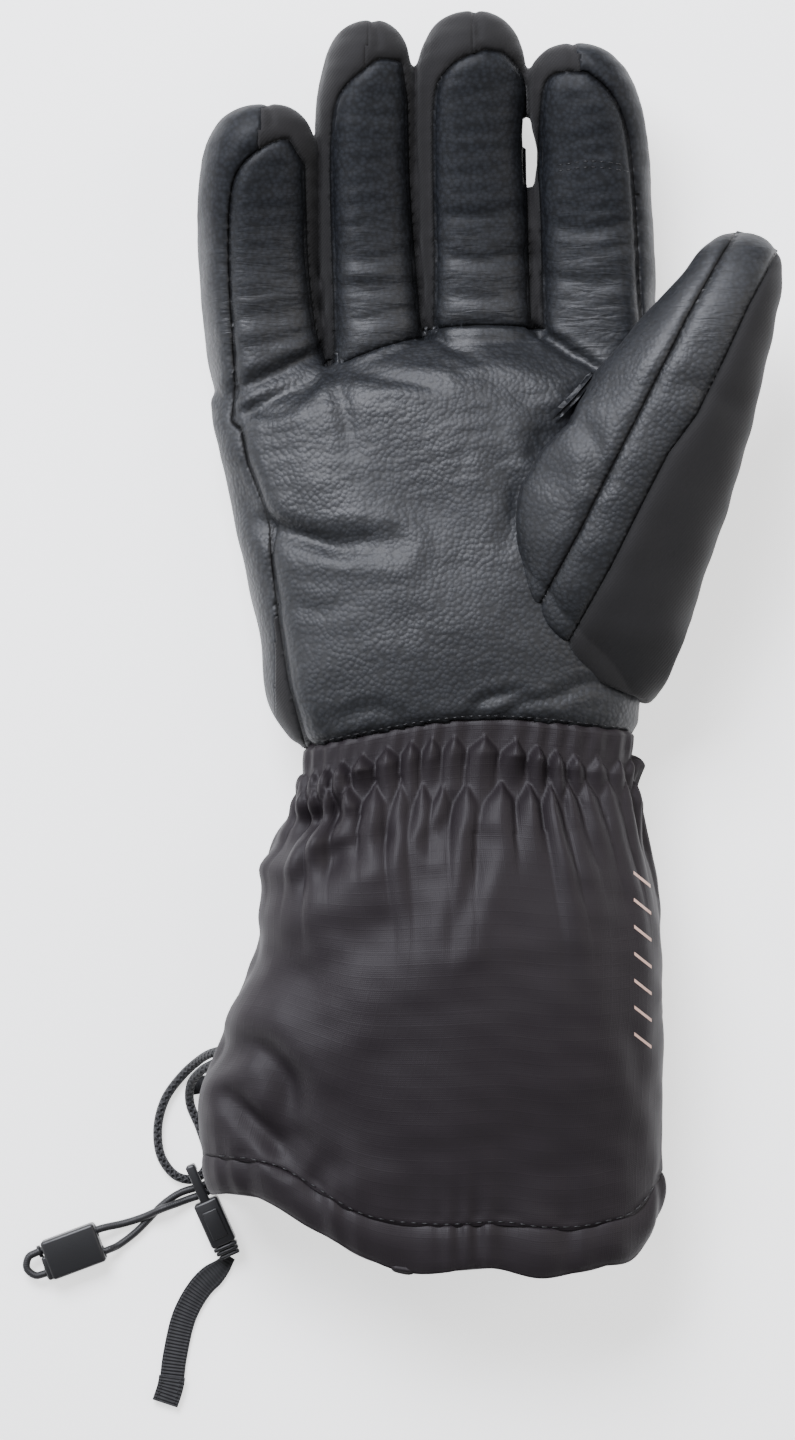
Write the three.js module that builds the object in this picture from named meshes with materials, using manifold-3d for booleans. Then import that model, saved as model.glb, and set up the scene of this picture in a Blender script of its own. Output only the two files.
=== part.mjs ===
// Heated winter glove for the right hand, lying on its back with the palm up.
// Millimetres. +X to the thumb side, +Y to the fingertips, +Z up out of the palm.
// The origin is on the surface it lies on, under the middle of the wrist.
import * as THREE from 'three';
import { LoftGeometry } from 'three/addons/geometries/LoftGeometry.js';
import { mergeVertices } from 'three/addons/utils/BufferGeometryUtils.js';
import Module from 'manifold-3d';

const wasm = await Module();
wasm.setup();

// Hand
const palmWidth = 122;
const palmLength = 121;
const palmHeight = 42;
const handWall = 4;
const creaseDepth = 4;
const fingerWidth = 32;
const fingerLength = 90;
const fingerHeight = 29;
const fingerGap = 1;
const fingertipLift = 14;
const fingerFold = 1.6;
const thumbLength = 130;
const thumbWidth = 57;
const thumbHeight = 46;
const thumbLean = 22;
const seamGap = 0.3;

// Cuff
const cuffLength = 138;
const cuffWidth = 130;
const cuffHeight = 50;
const cuffWall = 2.4;
const gatherCount = 26;
const gatherDepth = 2;
const hemWidth = 11.5;
const hemPuff = 1;

// Cords, clip and webbing
const leashDiameter = 2.4;
const elasticDiameter = 2;
const boreClearance = 0.45;
const lockLength = 17.4;
const lockWidth = 11.5;
const lockHeight = 6.5;
const lockBoreSpacing = 6.4;
const clipLength = 13.5;
const clipWidth = 7.3;
const clipHeight = 6.4;
const clipTaper = 4;
const hookReach = 11;
const hookWidth = 2.8;
const hookThickness = 2.4;
const webbingWidth = 7.5;
const webbingThickness = 1.1;
const webbingEnd = 7;
const tabWidth = 5;
const tabThickness = 1.2;

// Where the cuff and the hand meet: x in palm widths, y in palm lengths.
const wristSeam = [
  { at: -0.39, y: 0.046 },
  { at: 0, y: 0.112 },
  { at: 0.39, y: 0.083 },
];

// The line of the crotches between the fingers, in the same shares.
const crotchLine = [
  { at: -0.62, y: 0.86 },
  { at: -0.37, y: 0.926 },
  { at: -0.13, y: 0.99 },
  { at: 0.135, y: 1 },
  { at: 0.42, y: 0.926 },
];

// Palm from the wrist seam (0) to the crotches (1); edges in palm widths, top in palm heights.
const palmRows = [
  { at: 0, left: -0.392, right: 0.388, top: 1 },
  { at: 0.1, left: -0.452, right: 0.392, top: 1.05 },
  { at: 0.3, left: -0.48, right: 0.404, top: 1.07 },
  { at: 0.5, left: -0.516, right: 0.41, top: 1.03 },
  { at: 0.58, left: -0.53, right: 0.41, top: 1.01 },
  { at: 0.66, left: -0.545, right: 0.41, top: 1 },
  { at: 0.78, left: -0.564, right: 0.41, top: 0.97 },
  { at: 0.92, left: -0.588, right: 0.41, top: 0.86 },
  { at: 1, left: -0.598, right: 0.4, top: 0.6 },
];

// Dents in the palm: from and to in palm widths and lengths, radius in palm widths.
const palmDents = [
  { name: 'heart crease', x1: -0.5, y1: 0.575, x2: -0.16, y2: 0.52, depth: 0.9, radius: 0.045 },
  { name: 'hollow', x1: -0.06, y1: 0.56, x2: 0, y2: 0.68, depth: 0.9, radius: 0.24 },
  { name: 'thumb fold', x1: 0.06, y1: 0.72, x2: 0.28, y2: 0.83, depth: 0.8, radius: 0.05 },
  { name: 'heel tuck', x1: 0.05, y1: 0.2, x2: 0.22, y2: 0.32, depth: 0.4, radius: 0.06 },
];

// Fingers from the little finger to the index; width and length in the named sizes,
// base and tip are how far those ends stand to the right of the middle, in widths,
// and roll is how far the palm side turns to the thumb, in degrees.
const fingers = [
  { name: 'little', width: 1.015, length: 0.847, base: 0.12, tip: 0.08, roll: 15 },
  { name: 'ring', width: 0.83, length: 1.013, base: 0.11, tip: 0.04, roll: 15 },
  { name: 'middle', width: 0.99, length: 0.996, base: 0.08, tip: -0.01, roll: 8 },
  { name: 'index', width: 1.035, length: 0.949, base: 0.03, tip: -0.155, roll: -10 },
];
const stackCentre = -0.104;

// A finger from inside the palm to its tip: size in its own width, fold in fold depths.
const fingerRows = [
  { at: -0.3, size: 0.93, fold: 0 },
  { at: 0, size: 0.98, fold: 0.8 },
  { at: 0.16, size: 1, fold: 0 },
  { at: 0.42, size: 1, fold: 1 },
  { at: 0.56, size: 1, fold: 0 },
  { at: 0.76, size: 0.98, fold: 0 },
  { at: 0.88, size: 0.88, fold: 0 },
  { at: 0.95, size: 0.69, fold: 0 },
  { at: 1, size: 0.26, fold: 0 },
];
const fingerHollowRows = [-0.28, 0.3, 0.8, 1];

// Half widths of the front and back panels of a finger, in its own half widths.
const panelRows = [
  { at: -0.32, little: 0.6, other: 0.62 },
  { at: 0.05, little: 0.62, other: 0.72 },
  { at: 0.7, little: 0.66, other: 0.76 },
  { at: 0.82, little: 0.58, other: 0.66 },
  { at: 0.89, little: 0.4, other: 0.46 },
  { at: 0.93, little: 0.16, other: 0.2 },
];

// Thumb along its own axis from the heel of the hand: side and half in thumb widths,
// level in palm heights, rise in thumb heights.
const thumbRows = [
  { at: 0, side: -0.06, half: 0.1, level: 0.5, rise: 0.2 },
  { at: 0.092, side: -0.2, half: 0.33, level: 0.6, rise: 0.42 },
  { at: 0.22, side: -0.388, half: 0.461, level: 0.72, rise: 0.5 },
  { at: 0.395, side: -0.449, half: 0.496, level: 0.84, rise: 0.49 },
  { at: 0.558, side: -0.419, half: 0.43, level: 0.96, rise: 0.43 },
  { at: 0.717, side: -0.384, half: 0.339, level: 1.04, rise: 0.37 },
  { at: 0.86, side: -0.354, half: 0.251, level: 1.06, rise: 0.3 },
  { at: 0.94, side: -0.345, half: 0.195, level: 1.04, rise: 0.24 },
  { at: 0.985, side: -0.34, half: 0.12, level: 1.02, rise: 0.16 },
  { at: 1, side: -0.338, half: 0.055, level: 1.01, rise: 0.08 },
];
const thumbRootX = 0.39;
const thumbRootY = 0.162;
const thumbMouth = 0.45;

// The thumb's two seams, in its own half widths.
const thumbSeams = [
  { at: -0.05, first: -0.5, second: -0.02 },
  { at: 0.22, first: -0.5, second: 0.02 },
  { at: 0.395, first: -0.28, second: 0.2 },
  { at: 0.558, first: -0.36, second: 0.3 },
  { at: 0.717, first: -0.42, second: 0.36 },
  { at: 0.86, first: -0.5, second: 0.42 },
  { at: 1.03, first: -0.55, second: 0.5 },
];

// Outline of the palm's leather between its side seams, in palm widths and lengths.
const palmOutline = [
  { x: -0.374, y: -0.1 },
  { x: -0.374, y: 0.049 },
  { x: -0.416, y: 0.206 },
  { x: -0.436, y: 0.342 },
  { x: -0.452, y: 0.477 },
  { x: -0.456, y: 0.58 },
  { x: -0.515, y: 0.735 },
  { x: -0.522, y: 0.86 },
  { x: -0.37, y: 0.902 },
  { x: -0.13, y: 0.966 },
  { x: 0.135, y: 0.976 },
  { x: 0.375, y: 0.93 },
  { x: 0.375, y: 0.81 },
  { x: 0.8, y: 0.81 },
  { x: 0.8, y: -0.1 },
];

// Seams across the bases of the ring and middle fingers, in palm widths and lengths.
const baseSeams = [
  { name: 'ring', x1: -0.37, y1: 0.937, x2: -0.08, y2: 1.018 },
  { name: 'middle', x1: -0.15, y1: 1.02, x2: 0.18, y2: 1.02 },
];

// Seams across the knuckles on the back, in the same shares.
const knuckleSeams = [
  { name: 'little', x1: -0.66, y1: 0.88, x2: -0.35, y2: 0.93 },
  { name: 'ring', x1: -0.39, y1: 0.92, x2: -0.1, y2: 1 },
  { name: 'middle', x1: -0.16, y1: 0.99, x2: 0.16, y2: 1.01 },
  { name: 'index', x1: 0.11, y1: 1.01, x2: 0.5, y2: 0.95 },
];

// Cuff from the wrist seam (0) to the hem's edge (1); edges in cuff widths, top in cuff
// heights, gather in gather depths and phase in turns of one gather.
const cuffRows = [
  { at: 0, left: -0.368, right: 0.364, top: 0.84, gather: 0.2, phase: 0 },
  { at: 0.035, left: -0.37, right: 0.36, top: 0.86, gather: 0.7, phase: 0 },
  { at: 0.067, left: -0.372, right: 0.354, top: 0.82, gather: 0.5, phase: 0.5 },
  { at: 0.1, left: -0.376, right: 0.36, top: 0.87, gather: 0.9, phase: 0 },
  { at: 0.13, left: -0.382, right: 0.362, top: 0.84, gather: 0.6, phase: 0.5 },
  { at: 0.18, left: -0.418, right: 0.372, top: 0.93, gather: 1, phase: 0.5 },
  { at: 0.27, left: -0.445, right: 0.392, top: 1, gather: 0.8, phase: 0.5 },
  { at: 0.38, left: -0.448, right: 0.408, top: 1.04, gather: 0.4, phase: 0.5 },
  { at: 0.64, left: -0.532, right: 0.414, top: 1.03, gather: 0, phase: 0.5 },
  { at: 0.78, left: -0.576, right: 0.41, top: 0.98, gather: 0, phase: 0.5 },
  { at: 0.91, left: -0.575, right: 0.412, top: 0.94, gather: 0, phase: 0 },
  { at: 1, left: -0.562, right: 0.41, top: 0.92, gather: 0, phase: 0 },
];

// Hem's edge: x in cuff widths, y in cuff lengths.
const hemLine = [
  { at: -0.57, y: -0.852 },
  { at: -0.41, y: -0.872 },
  { at: -0.32, y: -0.923 },
  { at: -0.25, y: -0.966 },
  { at: -0.07, y: -1 },
  { at: 0.07, y: -0.996 },
  { at: 0.16, y: -1.008 },
  { at: 0.28, y: -0.998 },
  { at: 0.366, y: -0.962 },
  { at: 0.41, y: -0.9 },
];

// Folds pressed into the cuff: from and to in cuff widths and lengths, radius in widths.
const cuffFolds = [
  { name: 'side tuck', x1: -0.42, y1: -0.13, x2: -0.33, y2: -0.1, depth: 1.1, radius: 0.04 },
  { name: 'long fold', x1: -0.32, y1: -0.55, x2: -0.1, y2: -0.28, depth: 0.7, radius: 0.06 },
  { name: 'corner fold', x1: -0.53, y1: -0.6, x2: -0.3, y2: -0.8, depth: 1, radius: 0.055 },
  { name: 'pocket edge', x1: 0.28, y1: -0.86, x2: 0.33, y2: -0.4, depth: 0.4, radius: 0.05 },
];
const cuffFoldDepth = 4;

// Number of points round each section.
const palmSides = 22;
const fingerSides = 14;
const thumbSides = 14;
const gatherSamples = 2;
const hemSides = 30;
const seamSteps = 14;
const hollowSides = 18;
const fingerHollowSides = 8;
const squareness = 2.4;
const cordSides = 8;

const palmMiddle = palmHeight * 0.45;
const cuffMiddle = cuffHeight * 0.45;
const floorPress = 3;
const cutReach = 60;

// Materials
function material(color, roughness, metalness = 0) {
  return new THREE.MeshStandardMaterial({ color, roughness, metalness });
}

const leather = material('#2b2c31', 0.5);
const softshell = material('#242326', 0.85);
const nylon = material('#35322f', 0.75);
const plastic = material('#2a2a2d', 0.45);
const cordFibre = material('#303033', 0.8);

// Smooth value of one column of a table at a share between its rows.
function lookup(rows, column, at) {
  const last = rows.length - 1;
  if (at <= rows[0].at) return rows[0][column];
  if (at >= rows[last].at) return rows[last][column];
  const next = rows.findIndex((row) => row.at > at);
  const here = next - 1;
  const step = rows[next].at - rows[here].at;
  const t = (at - rows[here].at) / step;
  const slope = (index) => {
    const before = rows[Math.max(0, index - 1)];
    const after = rows[Math.min(last, index + 1)];
    return ((after[column] - before[column]) / (after.at - before.at)) * step;
  };
  const h00 = (1 + 2 * t) * (1 - t) ** 2;
  const h10 = t * (1 - t) ** 2;
  const h01 = t * t * (3 - 2 * t);
  const h11 = t * t * (t - 1);
  return h00 * rows[here][column] + h10 * slope(here) + h01 * rows[next][column] + h11 * slope(next);
}

function mix(a, b, share) {
  return a + (b - a) * share;
}

// Soft rectangle round an axis: pairs across and up, going round so a loft to +Y faces out.
function softRing(sides, half, rise, drop) {
  const ring = [];
  for (let i = 0; i < sides; i++) {
    const angle = (-2 * Math.PI * i) / sides;
    const cos = Math.cos(angle);
    const sin = Math.sin(angle);
    const reach = sin > 0 ? rise : drop;
    const across = half * Math.sign(cos) * Math.abs(cos) ** (2 / squareness);
    const up = reach * Math.sign(sin) * Math.abs(sin) ** (2 / squareness);
    ring.push({ across, up, top: Math.max(0, up / rise) });
  }
  return ring;
}

// How deep a table of dents presses the surface at one place.
function pressed(dents, width, length, x, y, depth) {
  let sum = 0;
  for (const dent of dents) {
    const ax = dent.x1 * width;
    const ay = dent.y1 * length;
    const bx = dent.x2 * width - ax;
    const by = dent.y2 * length - ay;
    const along = ((x - ax) * bx + (y - ay) * by) / (bx * bx + by * by);
    const share = Math.min(1, Math.max(0, along));
    const away = Math.hypot(x - ax - share * bx, y - ay - share * by);
    sum += dent.depth * depth * Math.exp(-((away / (dent.radius * width)) ** 2));
  }
  return sum;
}

function wristY(x) {
  return palmLength * lookup(wristSeam, 'y', x / palmWidth);
}

function crotchY(x) {
  return palmLength * lookup(crotchLine, 'y', x / palmWidth);
}

function hemY(x) {
  return cuffLength * lookup(hemLine, 'y', x / cuffWidth);
}

// Solids
function solid(geometry) {
  const bare = new THREE.BufferGeometry();
  bare.setAttribute('position', geometry.getAttribute('position'));
  bare.setIndex(geometry.getIndex());
  const merged = mergeVertices(bare, 1e-4);
  const vertProperties = merged.attributes.position.array;
  const corners = [];
  for (let i = 0; i < merged.index.count; i += 3) {
    const [a, b, c] = merged.index.array.slice(i, i + 3);
    if (a !== b && b !== c && c !== a) corners.push(a, b, c);
  }
  const triVerts = new Uint32Array(corners);
  return new wasm.Manifold(new wasm.Mesh({ numProp: 3, vertProperties, triVerts }));
}

function loft(rings) {
  return solid(new LoftGeometry(rings, { closed: true, capStart: true, capEnd: true }));
}

// A ring in the other direction, from the same first point.
function backwards(ring) {
  return [ring[0], ...ring.slice(1).reverse()];
}

// An end ring drawn together to a line, each top point meeting the one under it.
function drawnIn(ring) {
  return ring.map((point, index) => {
    const opposite = ring[(ring.length - index) % ring.length];
    return point.clone().add(opposite).multiplyScalar(0.5);
  });
}

// A loft whose ends close along such a line, so a curved end keeps its curve.
function curvedLoft(rings) {
  return solid(new LoftGeometry([drawnIn(rings[0]), ...rings, drawnIn(rings.at(-1))], { closed: true }));
}

function joined(solids) {
  return solids.reduce((whole, next) => whole.add(next));
}

function boxOf(part) {
  const { min, max } = part.boundingBox();
  return new THREE.Box3(new THREE.Vector3(...min), new THREE.Vector3(...max));
}

// The pieces that a cut leaves, without the dust where two seams graze each other.
function pieces(part) {
  return part.decompose().filter((piece) => piece.volume() > seamGap ** 3);
}

function biggest(parts) {
  return parts.reduce((a, b) => (b.volume() > a.volume() ? b : a));
}

// The piece whose box is centred nearest to a place in plan.
function nearest(parts, x, y) {
  const away = (part) => {
    const centre = boxOf(part).getCenter(new THREE.Vector3());
    return Math.hypot(centre.x - x, centre.y - y);
  };
  return parts.reduce((a, b) => (away(b) < away(a) ? b : a));
}

// An outline in plan, made a block between two heights.
function prism(outline, low, high) {
  const settings = { depth: high - low, bevelEnabled: false };
  const block = new THREE.ExtrudeGeometry(new THREE.Shape(outline), settings);
  block.translate(0, 0, low);
  return solid(block);
}

// Palm
function palmRing(row, inset, sides) {
  const left = row.left * palmWidth + inset;
  const right = row.right * palmWidth - inset;
  const rise = row.top * palmHeight - palmMiddle - inset;
  const drop = palmMiddle + floorPress - inset;
  return softRing(sides, (right - left) / 2, rise, drop).map(({ across, up, top }) => {
    const x = (left + right) / 2 + across;
    const y = mix(wristY(x), crotchY(x), row.at);
    const dent = top * pressed(palmDents, palmWidth, palmLength, x, y, creaseDepth);
    return new THREE.Vector3(x, y, Math.max(inset, palmMiddle + up - dent));
  });
}

function palmBody(inset) {
  const hollow = inset > 0;
  const end = 1 - inset / palmLength;
  const kept = palmRows.filter((row, index) => !hollow || index % 2 === 0);
  const rows = kept.map((row) => ({ ...row, at: row.at * end }));
  if (hollow) rows[0].at = -0.1;
  return curvedLoft(rows.map((row) => palmRing(row, inset, hollow ? hollowSides : palmSides)));
}

// Fingers
function fingerStack() {
  const gaps = fingerGap * (fingers.length - 1);
  const stack = fingers.reduce((sum, finger) => sum + finger.width * fingerWidth, gaps);
  let left = stackCentre * palmWidth - stack / 2;
  return fingers.map((finger) => {
    const width = finger.width * fingerWidth;
    const x = left + width / 2;
    left += width + fingerGap;
    return { ...finger, width, x, length: finger.length * fingerLength };
  });
}

const hand = fingerStack();

// Centre, directions and half sizes of a finger at a share of its length.
function fingerFrame(finger, at) {
  const t = Math.min(1, Math.max(-0.1, at));
  const bow = finger.base * (1 - t) * (1 - 2 * t) + finger.tip * t * (2 * t - 1);
  const roll = THREE.MathUtils.degToRad(finger.roll);
  const size = lookup(fingerRows, 'size', at);
  const lift = fingertipLift * Math.max(0, at) ** 1.5;
  const crotch = crotchY(finger.x + finger.base * finger.width);
  const half = (finger.width / 2) * size;
  const tall = (fingerHeight / 2) * mix(1, size, 0.9);
  return {
    centre: new THREE.Vector3(
      finger.x + bow * finger.width,
      crotch + finger.length * at,
      fingerHeight / 2 + 1 + lift,
    ),
    across: new THREE.Vector3(Math.cos(roll), 0, -Math.sin(roll)),
    up: new THREE.Vector3(Math.sin(roll), 0, Math.cos(roll)),
    half,
    tall,
  };
}

function fingerRing(finger, at, fold, inset, sides) {
  const frame = fingerFrame(finger, at);
  const end = inset > 0 ? at - (inset / finger.length) * Math.max(0, at) : at;
  const place = fingerFrame(finger, end).centre;
  const half = Math.max(1.2, frame.half - inset);
  const tall = Math.max(1.2, frame.tall - inset);
  return softRing(sides, half, tall, tall).map(({ across, up, top }) => {
    const height = up - top * fold * fingerFold;
    const point = place.clone();
    point.addScaledVector(frame.across, across);
    point.addScaledVector(frame.up, height);
    point.z = Math.max(inset, point.z);
    return point;
  });
}

function fingerBody(finger, inset) {
  const hollow = inset > 0;
  const rows = hollow ? fingerHollowRows.map((at) => ({ at, fold: 0 })) : fingerRows;
  const sides = hollow ? fingerHollowSides : fingerSides;
  return loft(rows.map((row) => fingerRing(finger, row.at, row.fold, inset, sides)));
}

// Region over (side 1) or under (side -1) a finger between its two side seams.
function fingerZone(finger, side, grow) {
  const column = finger.name === 'little' ? 'little' : 'other';
  const rings = panelRows.map((row, index) => {
    const frame = fingerFrame(finger, row.at);
    const half = lookup(panelRows, column, row.at) * frame.half + grow;
    const end = index === 0 ? -grow : grow;
    const level = palmMiddle - fingerHeight / 2 - 1;
    const near = -side * level - seamGap / 2 + grow;
    const corners = [
      [half, near],
      [half, -cutReach],
      [-half, -cutReach],
      [-half, near],
    ];
    return corners.map(([across, down]) => {
      const point = frame.centre.clone();
      point.addScaledVector(frame.across, across * side);
      point.addScaledVector(frame.up, -down * side);
      point.y += end;
      return point;
    });
  });
  return loft(rings.map((ring) => ring.reverse()));
}

// Thumb
const lean = THREE.MathUtils.degToRad(thumbLean);
const thumbAlong = new THREE.Vector3(Math.sin(lean), Math.cos(lean), 0);
const thumbAcross = new THREE.Vector3(Math.cos(lean), -Math.sin(lean), 0);
const thumbRoot = new THREE.Vector3(thumbRootX * palmWidth, thumbRootY * palmLength, 0);

function thumbPoint(at, across, z) {
  const side = lookup(thumbRows, 'side', at) * thumbWidth;
  const point = thumbRoot.clone();
  point.addScaledVector(thumbAlong, at * thumbLength);
  point.addScaledVector(thumbAcross, side + across);
  point.z = z;
  return point;
}

function thumbRing(row, inset, sides) {
  const half = Math.max(1.2, row.half * thumbWidth - inset);
  const tall = Math.max(1.2, row.rise * thumbHeight - inset);
  const level = row.level * palmHeight;
  const at = row.at - (inset > 0 ? (inset / thumbLength) * row.at : 0);
  return softRing(sides, half, tall, tall).map(({ across, up }) =>
    thumbPoint(at, across, Math.max(inset, level + up)),
  );
}

function thumbBody(inset, from = 0, to = 1) {
  const hollow = inset > 0;
  const within = (row) => row.at >= from && row.at <= to;
  const rows = thumbRows.filter((row, index) => within(row) && !(hollow && index % 3 === 1));
  return loft(rows.map((row) => thumbRing(row, inset, hollow ? fingerHollowSides : thumbSides)));
}

// Region between the thumb's two seams, from its middle height up.
function thumbStripZone(grow) {
  const rings = thumbSeams.map((row) => {
    const half = lookup(thumbRows, 'half', row.at) * thumbWidth;
    const level = lookup(thumbRows, 'level', row.at) * palmHeight - grow;
    const first = row.first * half - grow;
    const second = row.second * half + grow;
    return [
      thumbPoint(row.at, second, level),
      thumbPoint(row.at, first, level),
      thumbPoint(row.at, first, level + cutReach),
      thumbPoint(row.at, second, level + cutReach),
    ];
  });
  return loft(rings);
}

// Thin blade under the thumb, along its axis, where its two halves meet.
function thumbBlade() {
  const rings = thumbSeams.map((row) => {
    const level = lookup(thumbRows, 'level', row.at) * palmHeight + 1;
    return [
      thumbPoint(row.at, seamGap / 2, -cutReach),
      thumbPoint(row.at, -seamGap / 2, -cutReach),
      thumbPoint(row.at, -seamGap / 2, level),
      thumbPoint(row.at, seamGap / 2, level),
    ];
  });
  return loft(rings);
}

// Region over or under the palm inside its side seams.
function palmZone(side, grow) {
  const points = palmOutline.map(({ x, y }) => new THREE.Vector2(x * palmWidth, y * palmLength));
  const outline = points.map((point, index) => {
    const before = points[(index + points.length - 1) % points.length];
    const after = points[(index + 1) % points.length];
    const first = point.clone().sub(before).normalize();
    const second = after.clone().sub(point).normalize();
    const normal = new THREE.Vector2(-(first.y + second.y), first.x + second.x).normalize();
    return point.clone().addScaledVector(normal, grow);
  });
  const near = palmMiddle + side * (seamGap / 2 - grow);
  const far = near + side * cutReach;
  return prism(outline, Math.min(near, far), Math.max(near, far));
}

// Thin upright blade along a straight seam across the hand.
function baseBlade(seam) {
  const from = new THREE.Vector2(seam.x1 * palmWidth, seam.y1 * palmLength);
  const to = new THREE.Vector2(seam.x2 * palmWidth, seam.y2 * palmLength);
  const blade = new THREE.BoxGeometry(from.distanceTo(to), seamGap, cutReach);
  blade.rotateZ(to.clone().sub(from).angle());
  blade.translate((from.x + to.x) / 2, (from.y + to.y) / 2, cutReach / 2);
  return solid(blade);
}

// Thin blade on a finger's middle line past the ends of its front and back panels.
function tipBlade(finger) {
  const from = fingerFrame(finger, 0.9);
  const blade = new THREE.BoxGeometry(seamGap, finger.length * 0.3, cutReach);
  blade.rotateY(THREE.MathUtils.degToRad(finger.roll));
  blade.translate(from.centre.x, from.centre.y + finger.length * 0.15, from.centre.z);
  return solid(blade);
}

// Hand shells
const handOuter = joined([palmBody(0), ...hand.map((finger) => fingerBody(finger, 0))]);
const handHollow = joined([
  palmBody(handWall),
  ...hand.map((finger) => fingerBody(finger, handWall)),
]);
const thumbOuter = thumbBody(0);
const thumbHollow = thumbBody(handWall);
const handShell = handOuter.subtract(handHollow).subtract(thumbBody(handWall, 0, thumbMouth));
const handClear = joined([palmBody(-seamGap), ...hand.map((finger) => fingerBody(finger, -seamGap))]);
const thumbShell = thumbOuter.subtract(thumbHollow).subtract(handClear);

const frontZone = joined([palmZone(1, 0), ...hand.map((finger) => fingerZone(finger, 1, 0))]);
const backZone = joined([palmZone(-1, 0), ...hand.map((finger) => fingerZone(finger, -1, 0))]);
const frontClear = joined([palmZone(1, seamGap), ...hand.map((f) => fingerZone(f, 1, seamGap))]);
const backClear = joined([palmZone(-1, seamGap), ...hand.map((f) => fingerZone(f, -1, seamGap))]);

const frontShell = handShell.intersect(frontZone);
const sideShell = handShell.subtract(frontClear.add(backClear));
const fronts = pieces(frontShell.subtract(joined(baseSeams.map(baseBlade))));
const sides = pieces(sideShell.subtract(joined(hand.map(tipBlade))));
const backShell = handShell.intersect(backZone).subtract(frontClear);
const backs = pieces(backShell.subtract(joined(knuckleSeams.map(baseBlade))));

// Thumb panels
const thumbStrip = thumbShell.intersect(thumbStripZone(0));
const thumbHalves = pieces(thumbShell.subtract(thumbStripZone(seamGap)).subtract(thumbBlade()));

// Cuff
// A section of the cuff; push says how far each point stands out of the plain section.
function cuffRing(row, sides, inset, push = () => 0) {
  const left = row.left * cuffWidth + inset;
  const right = row.right * cuffWidth - inset;
  const half = (right - left) / 2;
  const rise = row.top * cuffHeight - cuffMiddle - inset;
  const drop = cuffMiddle + floorPress - inset;
  return softRing(sides, half, rise, drop).map(({ across, up, top }, index) => {
    const x = (left + right) / 2 + across;
    const y = mix(wristY(x) - 2 * seamGap, hemY(x), row.at);
    const normal = new THREE.Vector2(across / half ** 2, up / rise ** 2).normalize();
    const out = push(index);
    const dent = top * pressed(cuffFolds, cuffWidth, cuffLength, x, y, cuffFoldDepth);
    const z = cuffMiddle + up + normal.y * out - dent;
    return new THREE.Vector3(x + normal.x * out, y, Math.max(0, inset, z));
  });
}

function cuffRow(at) {
  const columns = ['left', 'right', 'top', 'gather', 'phase'];
  const row = Object.fromEntries(columns.map((column) => [column, lookup(cuffRows, column, at)]));
  return { at, ...row };
}

// The tube under the cuff's walls, open at both ends and clear of the gathers.
function cuffHollow() {
  const inset = cuffWall + gatherDepth / 2;
  const rings = [-0.06, 0.13, 0.3, 0.7, 1.1].map((at) => {
    const row = cuffRow(Math.min(1, Math.max(0, at)));
    return cuffRing({ ...row, at }, hollowSides, inset);
  });
  return curvedLoft(rings.map(backwards));
}

// Everything on one side of the hem's seam: side 1 is the gauntlet's, side -1 the hem's.
function besideHemSeam(side) {
  const reach = cuffWidth * 0.7;
  const line = [];
  for (let i = 0; i <= seamSteps; i++) {
    const x = mix(-reach, reach, i / seamSteps) * side;
    const y = mix(wristY(x), hemY(x), 1 - hemWidth / cuffLength);
    line.push(new THREE.Vector2(x, y + (side * seamGap) / 2));
  }
  const far = side * 2 * cuffLength;
  line.push(new THREE.Vector2(reach * side, far), new THREE.Vector2(-reach * side, far));
  return prism(line, -cuffHeight, 2 * cuffHeight);
}

function hemBody() {
  const before = 1 - (1.3 * hemWidth) / cuffLength;
  const rings = [0, 0.45, 0.85, 1].map((share) => {
    const puff = share > 0 && share < 1 ? hemPuff : 0;
    return backwards(cuffRing(cuffRow(mix(before, 1, share)), hemSides, 0, () => puff));
  });
  return curvedLoft(rings).intersect(besideHemSeam(-1)).subtract(cuffHollow());
}

function gatheredRing(row) {
  const push = (index) => {
    const turn = 2 * Math.PI * (index / gatherSamples + row.phase);
    return row.gather * gatherDepth * Math.cos(turn);
  };
  return backwards(cuffRing(row, gatherCount * gatherSamples, 0, push));
}

function gauntletBody() {
  const end = cuffRow(1 - (0.6 * hemWidth) / cuffLength);
  const rings = [...cuffRows.slice(0, -1), end].map(gatheredRing);
  return curvedLoft(rings).intersect(besideHemSeam(1)).subtract(cuffHollow());
}

// How far left the cuff reaches at a share of its length and a height.
function cuffSide(at, z) {
  const row = cuffRow(at);
  const half = ((row.right - row.left) / 2) * cuffWidth;
  const drop = cuffMiddle + floorPress;
  const up = Math.abs(z - cuffMiddle) / drop;
  const reach = half * (1 - up ** squareness) ** (1 / squareness);
  return ((row.left + row.right) / 2) * cuffWidth - reach;
}

// Cords
// Each point is how far it lies from the cord's own anchor on the cuff: across, along, and
// its height above the surface.
const leashPoints = [
  [-0.9, 0.5, 14.2],
  [-3.8, -0.6, 10.6],
  [-7.4, -3.1, 5],
  [-12, -7.4, 1.6],
  [-16.8, -14, 1.4],
  [-19, -22.4, 1.4],
  [-17.9, -30.8, 1.4],
  [-13.6, -36.1, 1.4],
  [-8.6, -36.9, 1.4],
  [-5.6, -34.4, 1.4],
  [-5, -29.4, 1.4],
  [-7, -22.4, 1.4],
  [-9.8, -15.4, 1.6],
  [-9.4, -9.6, 4.9],
  [-6.2, -5.4, 9.6],
  [-2.7, -3.2, 12.6],
];
const upperStrand = [
  [7.2, -0.8, 6.2],
  [1, -0.7, 2.7],
  [-3, -2.6, 1.8],
  [-6.4, -3.8, 1.5],
  [-10.4, -5.2, 2.6],
  [-14, -6.4, 3.5],
  [-19.6, -9, 2],
  [-25.2, -10.8, 1.7],
];
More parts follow.
